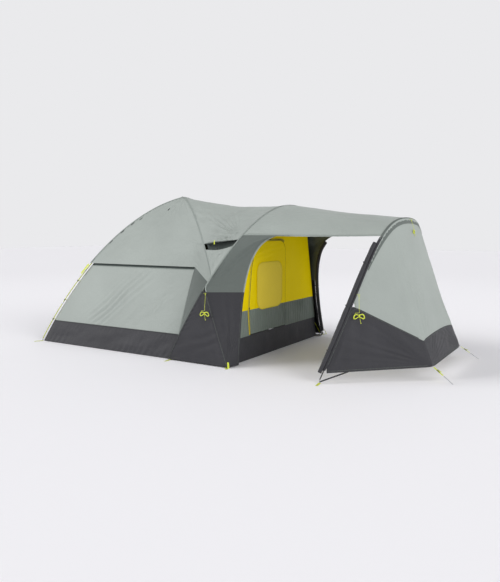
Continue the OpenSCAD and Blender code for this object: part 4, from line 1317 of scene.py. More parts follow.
@dataclass
class Cabin(SoftGoods):
    """The walls from the ground to the eave, with the dark band at their foot."""

    def build(self) -> None:
        """Builds the floor, the band, the walls, the vent strip, the quarters and the corners."""
        t = self.lines
        self.floor()
        low, top = 0.004, t.eave - t.eave_vent - 0.002
        creases = (Swell(0.006, 0.45, 3), Puckers(0.0022, 0.055, 0.05, ("low", "high"), 5),
                   Puckers(0.003, 0.07, 0.07, ("right",), 9),
                   Pull((0.06, -0.99, 1.02), (-0.72, -1.12, 0.24), 0.15, 0.078, 0.0085, 12),
                   Pull((0.45, -1.03, 0.75), (0.32, -1.08, 0.5), 0.06, 0.05, 0.004, 14),
                   Pull((-0.2, -1.08, 0.35), (0.6, -0.99, 0.95), 0.22, 0.16, 0.003, 15),
                   Crease((-0.46, -1.2, 0.28), (-0.46, -0.9, 1.02), 0.0012),
                   Crease((0.18, -1.2, 0.28), (0.18, -0.9, 1.02), -0.0010),
                   Crease((-1.4, -1.05, 0.63), (0.77, -1.05, 0.63), 0.0010))
        band = (Swell(0.008, 0.22, 21), Puckers(0.003, 0.06, 0.06, ("high",), 23),
                Puckers(0.004, 0.09, 0.08, ("low",), 24))
        strip = (Puckers(0.0012, 0.03, 0.01, ("low", "high"), 31),)
        eave = t.eave + 0.004
        for tag, side in SIDES:
            self.wall(f"bathtub_{tag}", t.side, (low, t.band), (120, 20), FLY_DARK, band, side, "bathtub")
            self.wall(f"side_wall_{tag}", t.side, (t.band, top), (120, 50), FLY_LIGHT, creases, side)
            self.wall(f"eave_mesh_{tag}", t.side, (top, eave), (120, 3), MESH, strip, side, "eave_mesh")
        rear = (Swell(0.007, 0.5, 41), Puckers(0.0022, 0.055, 0.05, ("low", "high"), 43),
                Crease((-1.4, 0.25, 0.28), (-1.2, 0.25, 1.02), 0.001))
        self.wall("bathtub_rear", t.rear, (low, t.band), (100, 20), FLY_DARK, band, node="bathtub")
        self.wall("rear_wall", t.rear, (t.band, top), (100, 50), FLY_LIGHT, rear)
        self.wall("eave_mesh_rear", t.rear, (top, eave), (100, 3), MESH, strip, node="eave_mesh")
        self.front()

    def wall(self, name: str, face: Surface, heights: tuple[float, float], cells: tuple[int, int],
             finish: Finish, folds: tuple[Fold, ...], side: Side = Side.NEAR, node: str | None = None) -> None:
        """Adds a cut of a wall between two heights.

        Args:
            name: The piece's name.
            face: The wall's surface, over its share across and its height.
            heights: Heights of the cut's foot and top.
            cells: Cells across and up.
            finish: Its cloth.
            folds: Its wrinkles.
            side: Which side it is on.
            node: The CAD node that it stands for, where that has another name.
        """
        low, high = heights
        self.sew(name, lambda u, v: face(u, low + (high - low) * v), cells, finish, folds, side, node,
                 rests_on=MAIN_POLES)

    def floor(self) -> None:
        """Lays the groundsheet."""
        t = self.lines
        rear, wide = -float(t.leg_r(0.0) - 0.06) * t.leg_x, float(t.leg_r(0.0) - 0.06) * t.leg_y

        def ground(u: Array, v: Array) -> Array:
            """The floor, v from the near side to the far one."""
            x = rear + (t.wall_x - 0.004 - rear) * u
            half = np.interp(x, [t.seam_x, t.wall_x], [wide, t.wall_half - 0.02])
            return np.stack([x, (2 * v - 1) * half, 0.0026 + 0 * u], axis=-1)

        self.sew("groundsheet", ground, (120, 100), FLY_DARK, (Swell(0.0011, 0.3, 51),), held=Hold.LAID,
                 rests_on=("floor",))

    def front(self) -> None:
        """Builds the quarters, the dark corners, the wings and the band under the inner door."""
        t = self.lines
        split = t.ridge_top - 0.05
        knots = np.linspace(0, 0.8, 400)

        def corner(u: Array, v: Array) -> Array:
            """From the arch to the corner's ridge."""
            z = 0.012 + (t.ridge_top - 0.044 - 0.012) * v
            out = unit(np.array([0.62, -0.78, 0.0]))
            bulge = 0.004 * np.sin(math.pi * u) * np.sin(math.pi * v)
            return lerp(t.arch_at(z) + [t.gap, 0, 0], t.ridge(z) + [0.0015, 0, 0], u) + bulge[..., None] * out

        def upper(u: Array, v: Array) -> Array:
            """The wing's upper cut, whose free edge bends forward under the awning's eave."""
            z = split + (t.awning_eave - 0.003 - split) * v
            start = float(np.interp(split, bezier(t.door_edge, knots)[:, 2], knots))
            return lerp(t.wing_root(z), bezier(t.door_edge, start + (1 - start) * v), u)

        def band(u: Array, v: Array) -> Array:
            """The band across the inner tent's front."""
            z = 0.004 + 0.280 * v
            half = t.wall_half - 0.014 - 0.23 * z
            return np.stack([t.wall_x + 0 * u, (2 * u - 1) * half, z], axis=-1)

        folds = (Swell(0.006, 0.2, 61), Puckers(0.003, 0.05, 0.05, ("left", "right", "high"), 63),
                 Fan((0.70, -1.22, 0.02), (0.95, -1.1, 0.8), 40, 5, 0.006, 0.7, 66))
        dark = (Swell(0.005, 0.28, 71), Puckers(0.003, 0.06, 0.05, ("left", "right"), 73),
                Pull((0.80, -1.20, 0.10), (1.42, -1.20, 0.34), 0.12, 0.13, 0.005, 75),
                Pull((1.45, -1.22, 0.05), (1.15, -1.1, 0.75), 0.10, 0.11, 0.005, 77),
                Crease((0.86, -1.20, 0.06), (1.27, -1.1, 0.66), 0.003, 0.02))
        low_wing = (Swell(0.006, 0.2, 81), Puckers(0.003, 0.06, 0.06, ("left", "right"), 83),
                    Fan((1.53, -1.22, 0.02), (1.45, -1.0, 0.8), 34, 4, 0.006, 0.6, 86))
        high_wing = (Swell(0.006, 0.22, 91), Puckers(0.003, 0.055, 0.05, ("left", "right", "high"), 93),
                     Fan((1.18, -1.15, 0.84), (1.45, -0.85, 1.35), 40, 5, 0.006, 0.6, 96))
        low = 0.012
        # The quarters and the upper wings wear the fly cloth drawn darker as painted shade
        for tag, side in SIDES:
            self.sew(f"quarter_{tag}", t.quarter, (40, 72), FLY_PAINTED_SHADE, folds, side, rests_on=ARCH)
            self.sew(f"corner_{tag}", corner, (52, 56), FLY_DARK, dark, side, rests_on=ARCH)
            self.sew(f"wing_{tag}_lower", lambda u, v: t.wing(u, low + (split - low) * v), (36, 56), FLY_DARK,
                     low_wing, side, rests_on=ARCH)
            self.sew(f"wing_{tag}_upper", upper, (36, 56), FLY_PAINTED_SHADE, high_wing, side, rests_on=ARCH)
        hem = (Swell(0.007, 0.2, 101), Puckers(0.003, 0.055, 0.05, ("high",), 103))
        self.sew("bathtub_front", band, (90, 18), FLY_DARK, hem, node="bathtub")


@dataclass
class Roof(SoftGoods):
    """The fly over the cabin: three panels behind the crossing and the saddle up to the brow."""

    def build(self) -> None:
        """Builds the four roof panels and the gussets under the vents."""
        t = self.lines
        foot, high = float(t.leg_u(t.eave + 0.0045)), float(t.leg_u(t.peak - 0.003))

        def rear(u: Array, v: Array) -> Array:
            """The rear panel."""
            f = 2 * u - 1
            r, z = t.leg(foot + (high - foot) * v)
            sag = -0.022 * r * (1 - f * f) * np.minimum(1, 3 * v)
            return np.stack([-r * t.leg_x - sag, -f * (r * t.leg_y - 0.001), z + 0.6 * sag], axis=-1)

        folds = (Swell(0.008, 0.4, 111), Puckers(0.0022, 0.05, 0.05, ("left", "right", "low"), 113),
                 Pull((-1.0, -0.98, 1.1), (0.0, -0.35, 1.85), 0.2, 0.17, 0.004, 115),
                 Fan((0.858, -0.655, 1.33), (0.2, -0.75, 1.35), 50, 6, 0.006, 0.45, 116),
                 Fan((1.02, -0.86, 0.95), (0.5, -0.85, 1.15), 44, 5, 0.006, 0.4, 118),
                 Fan((0.0, 0.0, 1.93), (0.0, -0.8, 1.4), 110, 9, 0.004, 0.5, 119))
        back = (Swell(0.009, 0.42, 121), Puckers(0.0022, 0.05, 0.05, ("left", "right", "low"), 123),
                Fan((0.0, 0.0, 1.93), (-0.8, 0.0, 1.4), 110, 8, 0.004, 0.5, 125))
        for tag, side in SIDES:
            self.sew(f"roof_{tag}", lambda u, v: t.roof(2 * u - 1, v), (150, 84), FLY_LIGHT, folds, side,
                     rests_on=MAIN_POLES)
        self.sew("roof_rear", rear, (130, 84), FLY_LIGHT, back, rests_on=MAIN_POLES)
        brow = (Swell(0.006, 0.3, 131), Puckers(0.003, 0.055, 0.06, ("low", "high"), 133),
                Fan((1.42, -0.80, 1.42), (0.8, -0.50, 1.60), 60, 9, 0.014, 0.55, 135),
                Fan((0.858, -0.655, 1.326), (1.2, -0.45, 1.62), 60, 7, 0.008, 0.5, 137),
                Fan((1.42, 0.80, 1.42), (0.8, 0.50, 1.60), 60, 9, 0.014, 0.55, 139),
                Fan((0.858, 0.655, 1.326), (1.2, 0.45, 1.62), 60, 7, 0.008, 0.5, 141),
                Pull((0.30, -0.28, 1.84), (1.5, -0.52, 1.66), 0.24, 0.095, 0.0055, 143),
                Pull((0.30, 0.28, 1.84), (1.5, 0.52, 1.66), 0.24, 0.095, 0.0055, 145))
        self.sew("roof_front", lambda u, v: t.saddle(2 * u - 1, v), (150, 84), FLY_LIGHT, brow, rests_on=ARCH)
        p, q = t.vent[:2]
        under = (Swell(0.005, 0.2, 151), Puckers(0.003, 0.05, 0.04, ("left", "low", "high"), 153),
                 Fan(tuple(q), (0.95, -0.80, 1.1), 60, 8, 0.010, 0.5, 155),
                 Fan(tuple(p), (1.25, -0.95, 1.1), 50, 5, 0.006, 0.35, 157),
                 Pull((1.33, -0.86, 1.28), (0.98, -0.83, 1.03), 0.12, 0.062, 0.008, 158),
                 Fan((1.13, -1.05, 0.83), (1.12, -0.8, 1.25), 40, 5, 0.006, 0.4, 159))

        def gusset(u: Array, v: Array) -> Array:
            """The gusset, from the vent's mouth down."""
            mouth = 0.15 + 0.05 * np.sin(math.pi * v)
            return t.gusset(mouth + (1 - mouth) * u, v)

        for tag, side in SIDES:
            self.sew(f"gusset_{tag}", gusset, (44, 44), FLY_LIGHT, under, side, slot="fly_mid", rests_on=ARCH)


@dataclass
class Vents(SoftGoods):
    """The two roof vents: mesh behind an opening, a stiff hood over it and a folding strut."""

    def build(self) -> None:
        """Builds the mesh, the hoods, their hem and the pull tabs."""
        t = self.lines
        p, q, axis, down, out = t.vent
        hood_folds = (Swell(0.0015, 0.12, 163), Puckers(0.001, 0.03, 0.02, ("low",), 165))
        run = np.linspace(0, 1, 12)[:, None]

        def mesh(u: Array, v: Array) -> Array:
            """The mesh, set back behind the opening."""
            return t.gusset(0.25 * (1 - v) - 0.04, 0.06 + 0.88 * u) - 0.022 * out

        for tag, side in SIDES:
            name = f"hood_{tag}"
            self.sew(f"vent_mesh_{tag}", mesh, (36, 16), MESH, (Swell(0.002, 0.1, 161),), side, "vent_mesh")
            hood = self.sew(name, lambda u, v: t.hood(u, 1 - v), (40, 14), FLY_LIGHT, hood_folds, side,
                            body=name, thick=0.0018)
            hem, tab, strut = Bag(), Bag(), Bag()
            edge, normal = hood.edge("low")
            hem.strip(edge + 0.0006 * normal, normal, 0.012, 0.0036)
            hem.piece(f"{name}_hem", TAPE_GREY, name, slot="fly_light")
            turn = np.array([1, side.value, 1])
            middle = t.hood(np.array(0.5), np.array(1.0)) - 0.012 * out - 0.016 * down
            hang = (down * 0.052 + axis * 0.018) * run + out * (0.014 + 0.004 * np.sin(3.1 * run))
            tab.strip((middle + hang) * turn, np.tile(out * turn, (12, 1)), 0.016, 0.0018)
            tab.piece(f"{name}_tab", WEBBING, name, slot="webbing")
            root = 0.5 * (p + q) + 0.102 * down + 0.022 * out
            tip = t.hood(np.array(0.5), np.array(0.7)) + 0.010 * down
            strut.rod((root + (tip - root) * run + 0.002 * axis * np.sin(3.1 * run)) * turn, 0.0032, 12)
            for place, half, radius, sides in ((root, 0.014, 0.0048, 16), (tip, 0.022, 0.0036, 12)):
                strut.rod((place + axis * np.linspace(-half, half, 6)[:, None]) * turn, radius, sides)
            strut.piece(f"vent_strut_bar_{tag}", ACETAL, f"strut_{tag}", slot="black_plastic",
                        nodes=(f"vent_struts_{tag}",))


@dataclass
class Awning(SoftGoods):
    """The pole-supported awning: its roof, the hoop's sleeve, the staked end panel and two rolled doors."""

    def build(self) -> None:
        """Builds the roof, the sleeve, the end panel and the rolled doors."""
        t = self.lines
        folds = (Swell(0.007, 0.35, 171), Puckers(0.0028, 0.055, 0.06, ("low", "high"), 173),
                 Puckers(0.004, 0.08, 0.07, ("left", "right"), 175),
                 Pull((1.5, -0.75, 1.48), (2.95, -0.9, 1.47), 0.11, 0.09, 0.005, 177),
                 Pull((1.55, -0.35, 1.72), (3.0, -0.4, 1.6), 0.20, 0.17, 0.004, 179),
                 Fan((3.03, -0.93, 1.44), (2.2, -0.5, 1.6), 50, 7, 0.006, 0.6, 181),
                 Fan((3.03, 0.93, 1.44), (2.2, 0.5, 1.6), 50, 7, 0.006, 0.6, 183),
                 Fan((1.47, -0.8, 1.45), (2.2, -0.4, 1.65), 50, 7, 0.006, 0.5, 185))
        self.sew("awning_roof", lambda u, v: t.awning(1 - 2 * u, v), (150, 96), FLY_LIGHT, folds,
                 rests_on=ARCH + HOOP)
        # The sleeve and, below, the cap wear the fly cloth drawn darker as painted shade
        self.sew("hoop_sleeve", self.sleeve, (150, 14), FLY_PAINTED_SHADE,
                 (Puckers(0.0012, 0.035, 0.03, ("low", "high"), 187),), rests_on=HOOP)
        self.end_panel()
        self.trim()
        leg = np.linspace(-float(t.hoop_u(0.10)), -float(t.hoop_u(1.36)), 60)
        near = spaced(t.hoop_point(leg) + 0.034 * np.array([-0.78, -0.62, 0.0]), 80)
        edge = t.door_point(np.linspace(0.09, 1.33, 60))
        far = spaced((edge + [0.035, 0.014, 0]) * [1, -1, 1], 80)
        self.rolled("rolled_door_near", near, 0.024, 201, HOOP)
        self.rolled("rolled_door_far", far, 0.0255, 207, ("awning_roof",))

    def trim(self) -> None:
        """Builds the cap over the hoop's front and the facing that closes its near and far legs."""
        t = self.lines

        def cap(u: Array, v: Array) -> Array:
            """A mid-grey band that hangs from the sleeve over the end panel's top."""
            q = 0.60 + 1.86 * u
            top, hem = t.end_top(q), t.end_hem(q)
            way = unit(hem - top)
            depth = 0.058 * np.sin(math.pi * np.clip(u, 0.02, 0.98)) ** 0.35
            lift = np.array([0.0035, 0, 0]) + 0.010 * (v**2)[..., None] * np.array([-1.0, 0, 0.4])
            return top + way * (depth * (1 - v))[..., None] + lift

        def facing(u: Array, v: Array) -> Array:
            """From the rolled door's side of the leg round to the end panel's edge."""
            foot, top = float(t.hoop_u(0.12)), float(t.hoop_u(1.42))
            here = t.hoop_point(-foot + (foot - top) * u)
            a, b = here + [-0.016, -0.006, 0], here + [0.0165, -0.0005, 0]
            return lerp(a, b, v) + np.stack([0 * v, -0.009 * np.sin(math.pi * v), 0 * v], axis=-1)

        ripple = (Puckers(0.0016, 0.04, 0.03, ("low", "high"), 191), Swell(0.002, 0.12, 193))
        self.sew("hoop_cap", cap, (120, 8), FLY_PAINTED_SHADE, ripple, node="hoop_sleeve", rests_on=HOOP)
        for tag, side in SIDES:
            self.sew(f"leg_facing_{tag}", facing, (100, 6), FLY_DARK, (), side, "hoop_sleeve", rests_on=HOOP)

    def sleeve(self, u: Array, v: Array) -> Array:
        """The sleeve round the hoop, u along it and v round its outside."""
        t = self.lines
        reach = float(t.hoop_u(t.awning_eave - 0.01)) + 0.03
        s = (2 * u - 1) * reach
        here = t.hoop_point(s)
        ahead = unit(t.hoop_point(s + 0.002) - t.hoop_point(s - 0.002))
        plane = unit(np.array([t.hoop_lean, 0.0, 1.0]))
        lift = unit(np.cross(np.array([1, 0, -t.hoop_lean]), ahead))
        lift = lift * np.sign(np.sum(lift * plane, axis=-1, keepdims=True) + 1e-9)
        side = np.cross(ahead, lift)
        w = np.radians(150) * (1 - 2 * v)
        return here + 0.0108 * (lift * np.cos(w)[..., None] + side * np.sin(w)[..., None])

    def end_panel(self) -> None:
        """Builds the light upper part and the dark lower part of the staked panel."""
        t = self.lines
        low, high = t.end_dark

        def upper(u: Array, v: Array) -> Array:
            """From the dark part up to the hoop."""
            q = np.interp(u, [0, 0.25, 0.75, 1], [low + 0.03, 1, 2, high - 0.03])
            return lerp(t.end_top(q), t.end_hem(q), t.end_split(q) * (1 - v))

        def lower(u: Array, v: Array) -> Array:
            """From the hem up to the light part."""
            q = np.interp(u, [0, 1 / 3, 2 / 3, 1], [0, 1, 2, 3])
            return lerp(t.end_top(q), t.end_hem(q), 1 - (1 - t.end_split(q)) * v)

        near, far = (3.553, -0.611, 0.145), (3.553, 0.611, 0.145)
        light = (Swell(0.007, 0.4, 221), Puckers(0.003, 0.05, 0.06, ("high",), 223),
                 Puckers(0.0025, 0.06, 0.05, ("low", "left", "right"), 225),
                 Pull((3.12, -0.45, 1.5), (3.5, -0.6, 0.35), 0.12, 0.10, 0.005, 227),
                 Pull((3.1, 0.5, 1.5), (3.5, 0.6, 0.35), 0.12, 0.10, 0.005, 229),
                 Fan(near, (3.2, -0.3, 1.3), 40, 5, 0.006, 0.7, 231),
                 Fan(far, (3.2, 0.3, 1.3), 40, 5, 0.006, 0.7, 233))
        dark = (Swell(0.006, 0.22, 241), Puckers(0.003, 0.055, 0.05, ("low", "high"), 243),
                Fan(near, (3.3, -0.1, 0.42), 60, 6, 0.007, 0.5, 245),
                Fan(far, (3.3, 0.1, 0.42), 60, 6, 0.007, 0.5, 247),
                Fan(near, (2.9, -1.1, 0.55), 50, 5, 0.007, 0.5, 249),
                Fan(far, (2.9, 1.1, 0.55), 50, 5, 0.007, 0.5, 251))
        self.sew("end_panel_upper", upper, (140, 80), FLY_LIGHT, light, rests_on=HOOP)
        self.sew("end_panel_lower", lower, (150, 36), FLY_DARK, dark, rests_on=HOOP)

    def rolled(self, name: str, line: Array, radius: float, seed: int, rests_on: tuple[str, ...]) -> None:
        """Rolls a door up in a spiral and ties it with bands.

        Args:
            name: The piece's name.
            line: The roll's axis.
            radius: Its outer radius.
            seed: Picks its lumps.
            rests_on: What it hangs from.
        """
        turns, cells = 7, 22
        _, first, second = frames_along(line, np.array([1.0, 0.0, 0.0]))

        def spiral(u: Array, v: Array) -> Array:
            """The rolled cloth, u along the roll and v from its core to its free edge."""
            at = np.clip(np.rint(u * (len(line) - 1)).astype(int), 0, len(line) - 1)
            angle = 2 * math.pi * turns * v
            lump = 1 + 0.07 * wander(u * 22, np.cos(angle) * 1.2 + 3, seed)
            lump = lump + 0.05 * wander(u * 7, np.sin(angle) + 5, seed)
            tied = 1 - 0.10 * np.exp(-(((u * 3) % 1 - 0.5) / 0.035) ** 2)
            r = (0.006 + (radius - 0.008) * v) * lump * tied * (0.95 + 0.05 * np.sin(math.pi * u))
            x, y = (r * np.cos(angle))[..., None], (r * np.sin(angle))[..., None]
            return line[at] + first[at] * x + second[at] * y

        self.sew(name, spiral, (len(line) - 1, turns * cells), FLY_DARK, held=Hold.GATHERED, rests_on=rests_on)
        ties = Bag()
        for share in (1 / 6, 0.5, 5 / 6):
            k = int(round(share * (len(line) - 1)))
            a = np.linspace(0, 2 * math.pi, 30)
            waist = radius * 0.93
            loop = line[k] + (first[k] * np.cos(a)[:, None] + second[k] * np.sin(a)[:, None]) * waist
            ties.strip(loop, loop - line[k], 0.012, 0.0014)
            knob = line[k] - second[k] * (waist + 0.004) + np.outer(np.linspace(-0.016, 0.016, 4), first[k])
            ties.rod(knob, 0.0042, 10)
        ties.piece(f"{name}_ties", TAPE_DARK, TENT, slot="fly_dark")


@dataclass
class InnerTent(SoftGoods):
    """The inner tent: mesh canopy and sides, yellow front wall, grey skirt and the D-shaped door."""
    hinge_y: float = 0.13
    door_low: float = 0.292
    door_top: float = 1.36
    skirt_top: float = 0.575
    door_round: float = 0.15
    window: tuple[float, float] = (0.605, 0.55)
    window_centre: tuple[float, float] = (-0.2725, 0.835)
    window_round: float = 0.12

    def outline(self, grow: float, count: int = 200) -> Array:
        """The door's rounded outline, from the foot of its hinge over the top to the foot of its free edge.

        Args:
            grow: How far outside the door.
            count: Number of points.

        Returns:
            Points (y, z) equal distances apart.
        """
        low, top = self.door_low, self.door_top
        corners = np.array([(self.hinge_y, low), (self.hinge_y, top), (-0.575, top), (-0.685, 1.04),
                            (-0.745, 0.56), (-0.715, low)])
        line = [corners[0]]
        for k in range(1, 5):
            a, b, c = corners[k - 1], corners[k], corners[k + 1]
            u, w = unit(a - b), unit(c - b)
            half = 0.5 * math.acos(float(np.clip(u @ w, -1, 1)))
            straight = 0.45 * min(np.linalg.norm(a - b), np.linalg.norm(c - b))
            cut = min(self.door_round / math.tan(half), straight)
            s = np.linspace(0, 1, 9)[:, None]
            p, q = b + u * cut, b + w * cut
            line += list((1 - s) ** 2 * p + 2 * (1 - s) * s * b + s**2 * q)
        line.append(corners[-1])
        even = spaced(np.array(line), count)
        ahead = unit(np.gradient(even, axis=0))
        return even + grow * np.stack([ahead[:, 1], -ahead[:, 0]], axis=1)

    def build(self) -> None:
        """Builds every sheet of the inner tent."""
        self.canopy()
        self.front()
        self.door()

    def canopy(self) -> None:
        """Builds the mesh canopy, its cap and the mesh side walls."""
        t = self.lines
        low, high = float(t.leg_u(t.eave + 0.03)), float(t.leg_u(1.8905))

        def place(u: Array, v: Array, k: int) -> Array:
            """A canopy sheet: k is 0 for a side and 1 for the rear."""
            r, z = t.leg(low + (high - low) * v)
            f = 2 * u - 1
            deep, wide, drop = r - 0.045, r - 0.063, z - 0.0405
            if k:
                return np.stack([-deep * t.leg_x, -f * (wide * t.leg_y - 0.008), drop], axis=-1)
            return np.stack([f * (wide * t.leg_x - 0.008), -deep * t.leg_y, drop], axis=-1)

        def wall(u: Array, v: Array) -> Array:
            """A mesh wall beside the porch."""
            z = 0.006 + 1.264 * v
            r = t.leg_r(z)
            low_wall = z < t.eave - 0.029
            bx = np.where(low_wall, 0.796, r * t.leg_x + 0.012)
            by = np.where(low_wall, -(r - 0.057) * t.leg_y, -r * t.leg_y + 0.055)
            a = np.stack([bx, by, z], axis=-1)
            b = np.stack([t.wall_x - 0.0075 + 0 * z, -t.front_half(z), z], axis=-1)
            bow = np.where(low_wall, 0.07 * (z / 1.016) ** 2, 0.07 * np.clip((1.27 - z) / 0.254, 0, 1))
            return lerp(a, b, u) + np.stack([0 * u, bow * np.sin(math.pi * u), 0 * u], axis=-1)

        def cap(u: Array, v: Array) -> Array:
            """The square under the poles' crossing."""
            return np.stack([0.124 * (u - 0.5), 0.124 * (v - 0.5), 1.8642 + 0 * u], axis=-1)

        net = (Swell(0.004, 0.25, 301),)
        for tag, side in SIDES:
            self.sew(f"canopy_{tag}", lambda u, v: place(u, v, 0), (60, 40), MESH, net, side, "inner_canopy")
            self.sew(f"inner_wall_{tag}", wall, (40, 60), MESH, net, side, "inner_side_walls")
        self.sew("canopy_rear", lambda u, v: place(u, v, 1), (60, 40), MESH, net, node="inner_canopy")
        self.sew("canopy_cap", cap, (10, 10), MESH, node="inner_canopy")
        tab = Bag()
        hang = np.array([[0, 0, 1.8640], [0.0, 0, 1.8600], [0.0, 0, 1.8556]])
        tab.strip(hang, np.array([1.0, 0, 0]), 0.016, 0.0016)
        tab.piece("lantern_tab", WEBBING, TENT, slot="webbing")

    def front(self) -> None:
        """Builds the yellow wall round the door and the grey skirt at both sides of it."""
        t = self.lines
        door = self.outline(0.006)
        above = door[door[:, 1] >= self.skirt_top]
        inner = np.vstack([[door[0, 0], self.skirt_top], above, [above[-1, 0] - 0.001, self.skirt_top]])
        half = t.front_half
        shoulder, crown = 1.375, 1.64
        z = np.linspace(self.skirt_top, shoulder, 40)
        a = np.linspace(0, math.pi, 80)
        arch = np.stack([half(shoulder) * np.cos(a), shoulder + (crown - shoulder) * np.sin(a)], axis=1)
        far, near = np.stack([half(z), z], axis=1), np.stack([-half(z), z], axis=1)
        outer = np.vstack([far[:-1], arch, near[::-1][1:]])

        def along(path: Array, breaks: Sequence[float], s: Array) -> Array:
            """Points of a path at shares that run evenly between three stretches."""
            run = run_length(path)
            at = np.interp(s, [0, 0.32, 0.68, 1], np.array([0, *breaks, 1]) * run[-1])
            return np.stack([np.interp(at, run, column) for column in path.T], axis=-1)

        def wall(u: Array, v: Array) -> Array:
            """The wall, u over the door from its hinge and v out to the wall's edge."""
            a, b = along(inner, (0.33, 0.66), u), along(outer, (0.235, 0.765), u)
            p = lerp(a, b, v)
            return np.stack([t.wall_x + 0 * u, p[..., 0], p[..., 1]], axis=-1)

        def skirt(u: Array, v: Array, sign: int) -> Array:
            """The skirt from its outer edge to the door."""
            z = 0.281 + (self.skirt_top + 0.003 - 0.281) * v
            edge = np.interp(z, [0.28, 0.56, 0.6], [-0.722, -0.752, -0.748]) if sign < 0 else 0.137 + 0 * z
            a, b = (-half(z), edge) if sign < 0 else (edge, half(z))
            return np.stack([t.wall_x + 0.0016 + 0 * z, a + (b - a) * u, z], axis=-1)

        folds = (Swell(0.006, 0.3, 311), Puckers(0.003, 0.05, 0.05, ("low", "high"), 313))
        self.sew("front_wall", wall, (190, 34), YELLOW, folds)
        gathers = (Puckers(0.008, 0.052, 0.30, ("high",), 315), Puckers(0.004, 0.045, 0.1, ("low",), 316),
                   Swell(0.007, 0.16, 317))
        for tag, sign, across in (("near", -1, 48), ("far", 1, 110)):
            self.sew(f"front_skirt_{tag}", lambda u, v, s=sign: skirt(u, v, s), (across, 24), FLY_SKIRT,
                     gathers, node="front_skirt")

    def door(self) -> None:
        """Builds the door in two cloths, its window and the piping round it."""
        t = self.lines
        edge = self.outline(0.0)
        free = edge[np.argmax(edge[:, 1]):]
        order = np.argsort(free[:, 1])
        hinge = edge[: np.argmax(edge[:, 1]) + 1]
        top = self.door_top - 0.001

        def cloth(u: Array, v: Array, low: float, high: float, lift: float) -> Array:
            """A cut of the door between two heights."""
            z = low + (high - low) * v
            a = np.interp(z, free[order, 1], free[order, 0])
            b = np.interp(z, hinge[:, 1], hinge[:, 0])
            return np.stack([t.wall_x + lift + 0 * z, a + (b - a) * u, z], axis=-1)

        folds = (Swell(0.0035, 0.3, 321), Puckers(0.0026, 0.05, 0.05, ("left", "right", "low", "high"), 323),
                 Pull((1.5, -0.6, 1.2), (1.5, 0.1, 1.32), 0.07, 0.06, 0.004, 325))
        low = (Swell(0.007, 0.14, 327), Puckers(0.008, 0.052, 0.30, ("high",), 329),
               Puckers(0.004, 0.045, 0.1, ("low",), 330))
        self.sew("door_panel", lambda u, v: cloth(u, v, self.skirt_top, top, 0.0), (64, 58), YELLOW, folds,
                 body="door")
        overlap = self.skirt_top + 0.003
        self.sew("door_skirt", lambda u, v: cloth(u, v, self.door_low, overlap, 0.0016), (110, 24), FLY_SKIRT,
                 low, node="door_panel", body="door")
        wide, tall = self.window[0] / 2, self.window[1] / 2
        y0, z0 = self.window_centre
        r = self.window_round

        def window(u: Array, v: Array) -> Array:
            """The window: a rectangle with round corners."""
            y, z = 2 * u - 1, 2 * v - 1
            short = np.maximum(np.abs(z) - (1 - r / tall), 0) / (r / tall)
            width = wide - r * (1 - np.sqrt(np.maximum(1 - short**2, 0)))
            return np.stack([t.wall_x + 0.0085 + 0 * u, y0 + y * width, z0 + tall * z], axis=-1)

        self.sew("door_window", window, (40, 40), WINDOW, (Swell(0.002, 0.2, 331),), body="door")
        rim = Bag()
        a = np.linspace(0, math.pi / 2, 8)
        signs = ((1, 1), (-1, 1), (-1, -1), (1, -1))
        corner = [((wide - r) * sy + r * math.cos(b + k), (tall - r) * sz + r * math.sin(b + k))
                  for k, (sy, sz) in zip(np.arange(4) * math.pi / 2, signs) for b in a]
        loop = np.array([[t.wall_x + 0.0096, y0 + p, z0 + q] for p, q in corner])
        rim.strip(spaced(np.vstack([loop, loop[:1]]), 120), np.array([1.0, 0, 0]), 0.012, 0.0016)
        rim.piece("window_binding", TAPE_YELLOW, "door", slot="wall_yellow")


@dataclass
class PoleSet:
    """The four poles, their round bars drawn along the CAD's centrelines."""

    lines: Lines = LINES
    diameter: float = 0.011

    def build(self) -> None:
        """Builds the two crossing poles, the arch and the hoop."""
        t = self.lines
        foot = float(t.leg_u(0.034))
        u = np.linspace(foot, 1, 70)
        for name, sx, sy, drop in (("main_pole_1", -1, -1, 0.018), ("main_pole_2", -1, 1, 0.031)):
            self.rod(name, np.vstack([t.leg_point(u, sx, sy, drop), t.leg_point(u, 1, -sy, drop)[::-1][1:]]),
                     FIBREGLASS_LIME)
        start = math.asin((0.034 / t.arch_height) ** (t.arch_round / 2))
        angle = np.linspace(start, math.pi - start, 140)
        self.rod("arch_pole", t.arch_point(angle, 0.0225) + [0.0126, 0, 0])
        reach = float(t.hoop_u(0.034))
        self.rod("hoop_pole", t.hoop_point(np.linspace(-reach, reach, 140)))

    def rod(self, name: str, line: Array, finish: Finish = FIBREGLASS) -> None:
        """Adds one pole."""
        bag = Bag()
        bag.rod(line, self.diameter / 2, 16)
        bag.piece(name.replace("pole", "pole_bar"), finish, TENT, slot="pole", nodes=(name,))


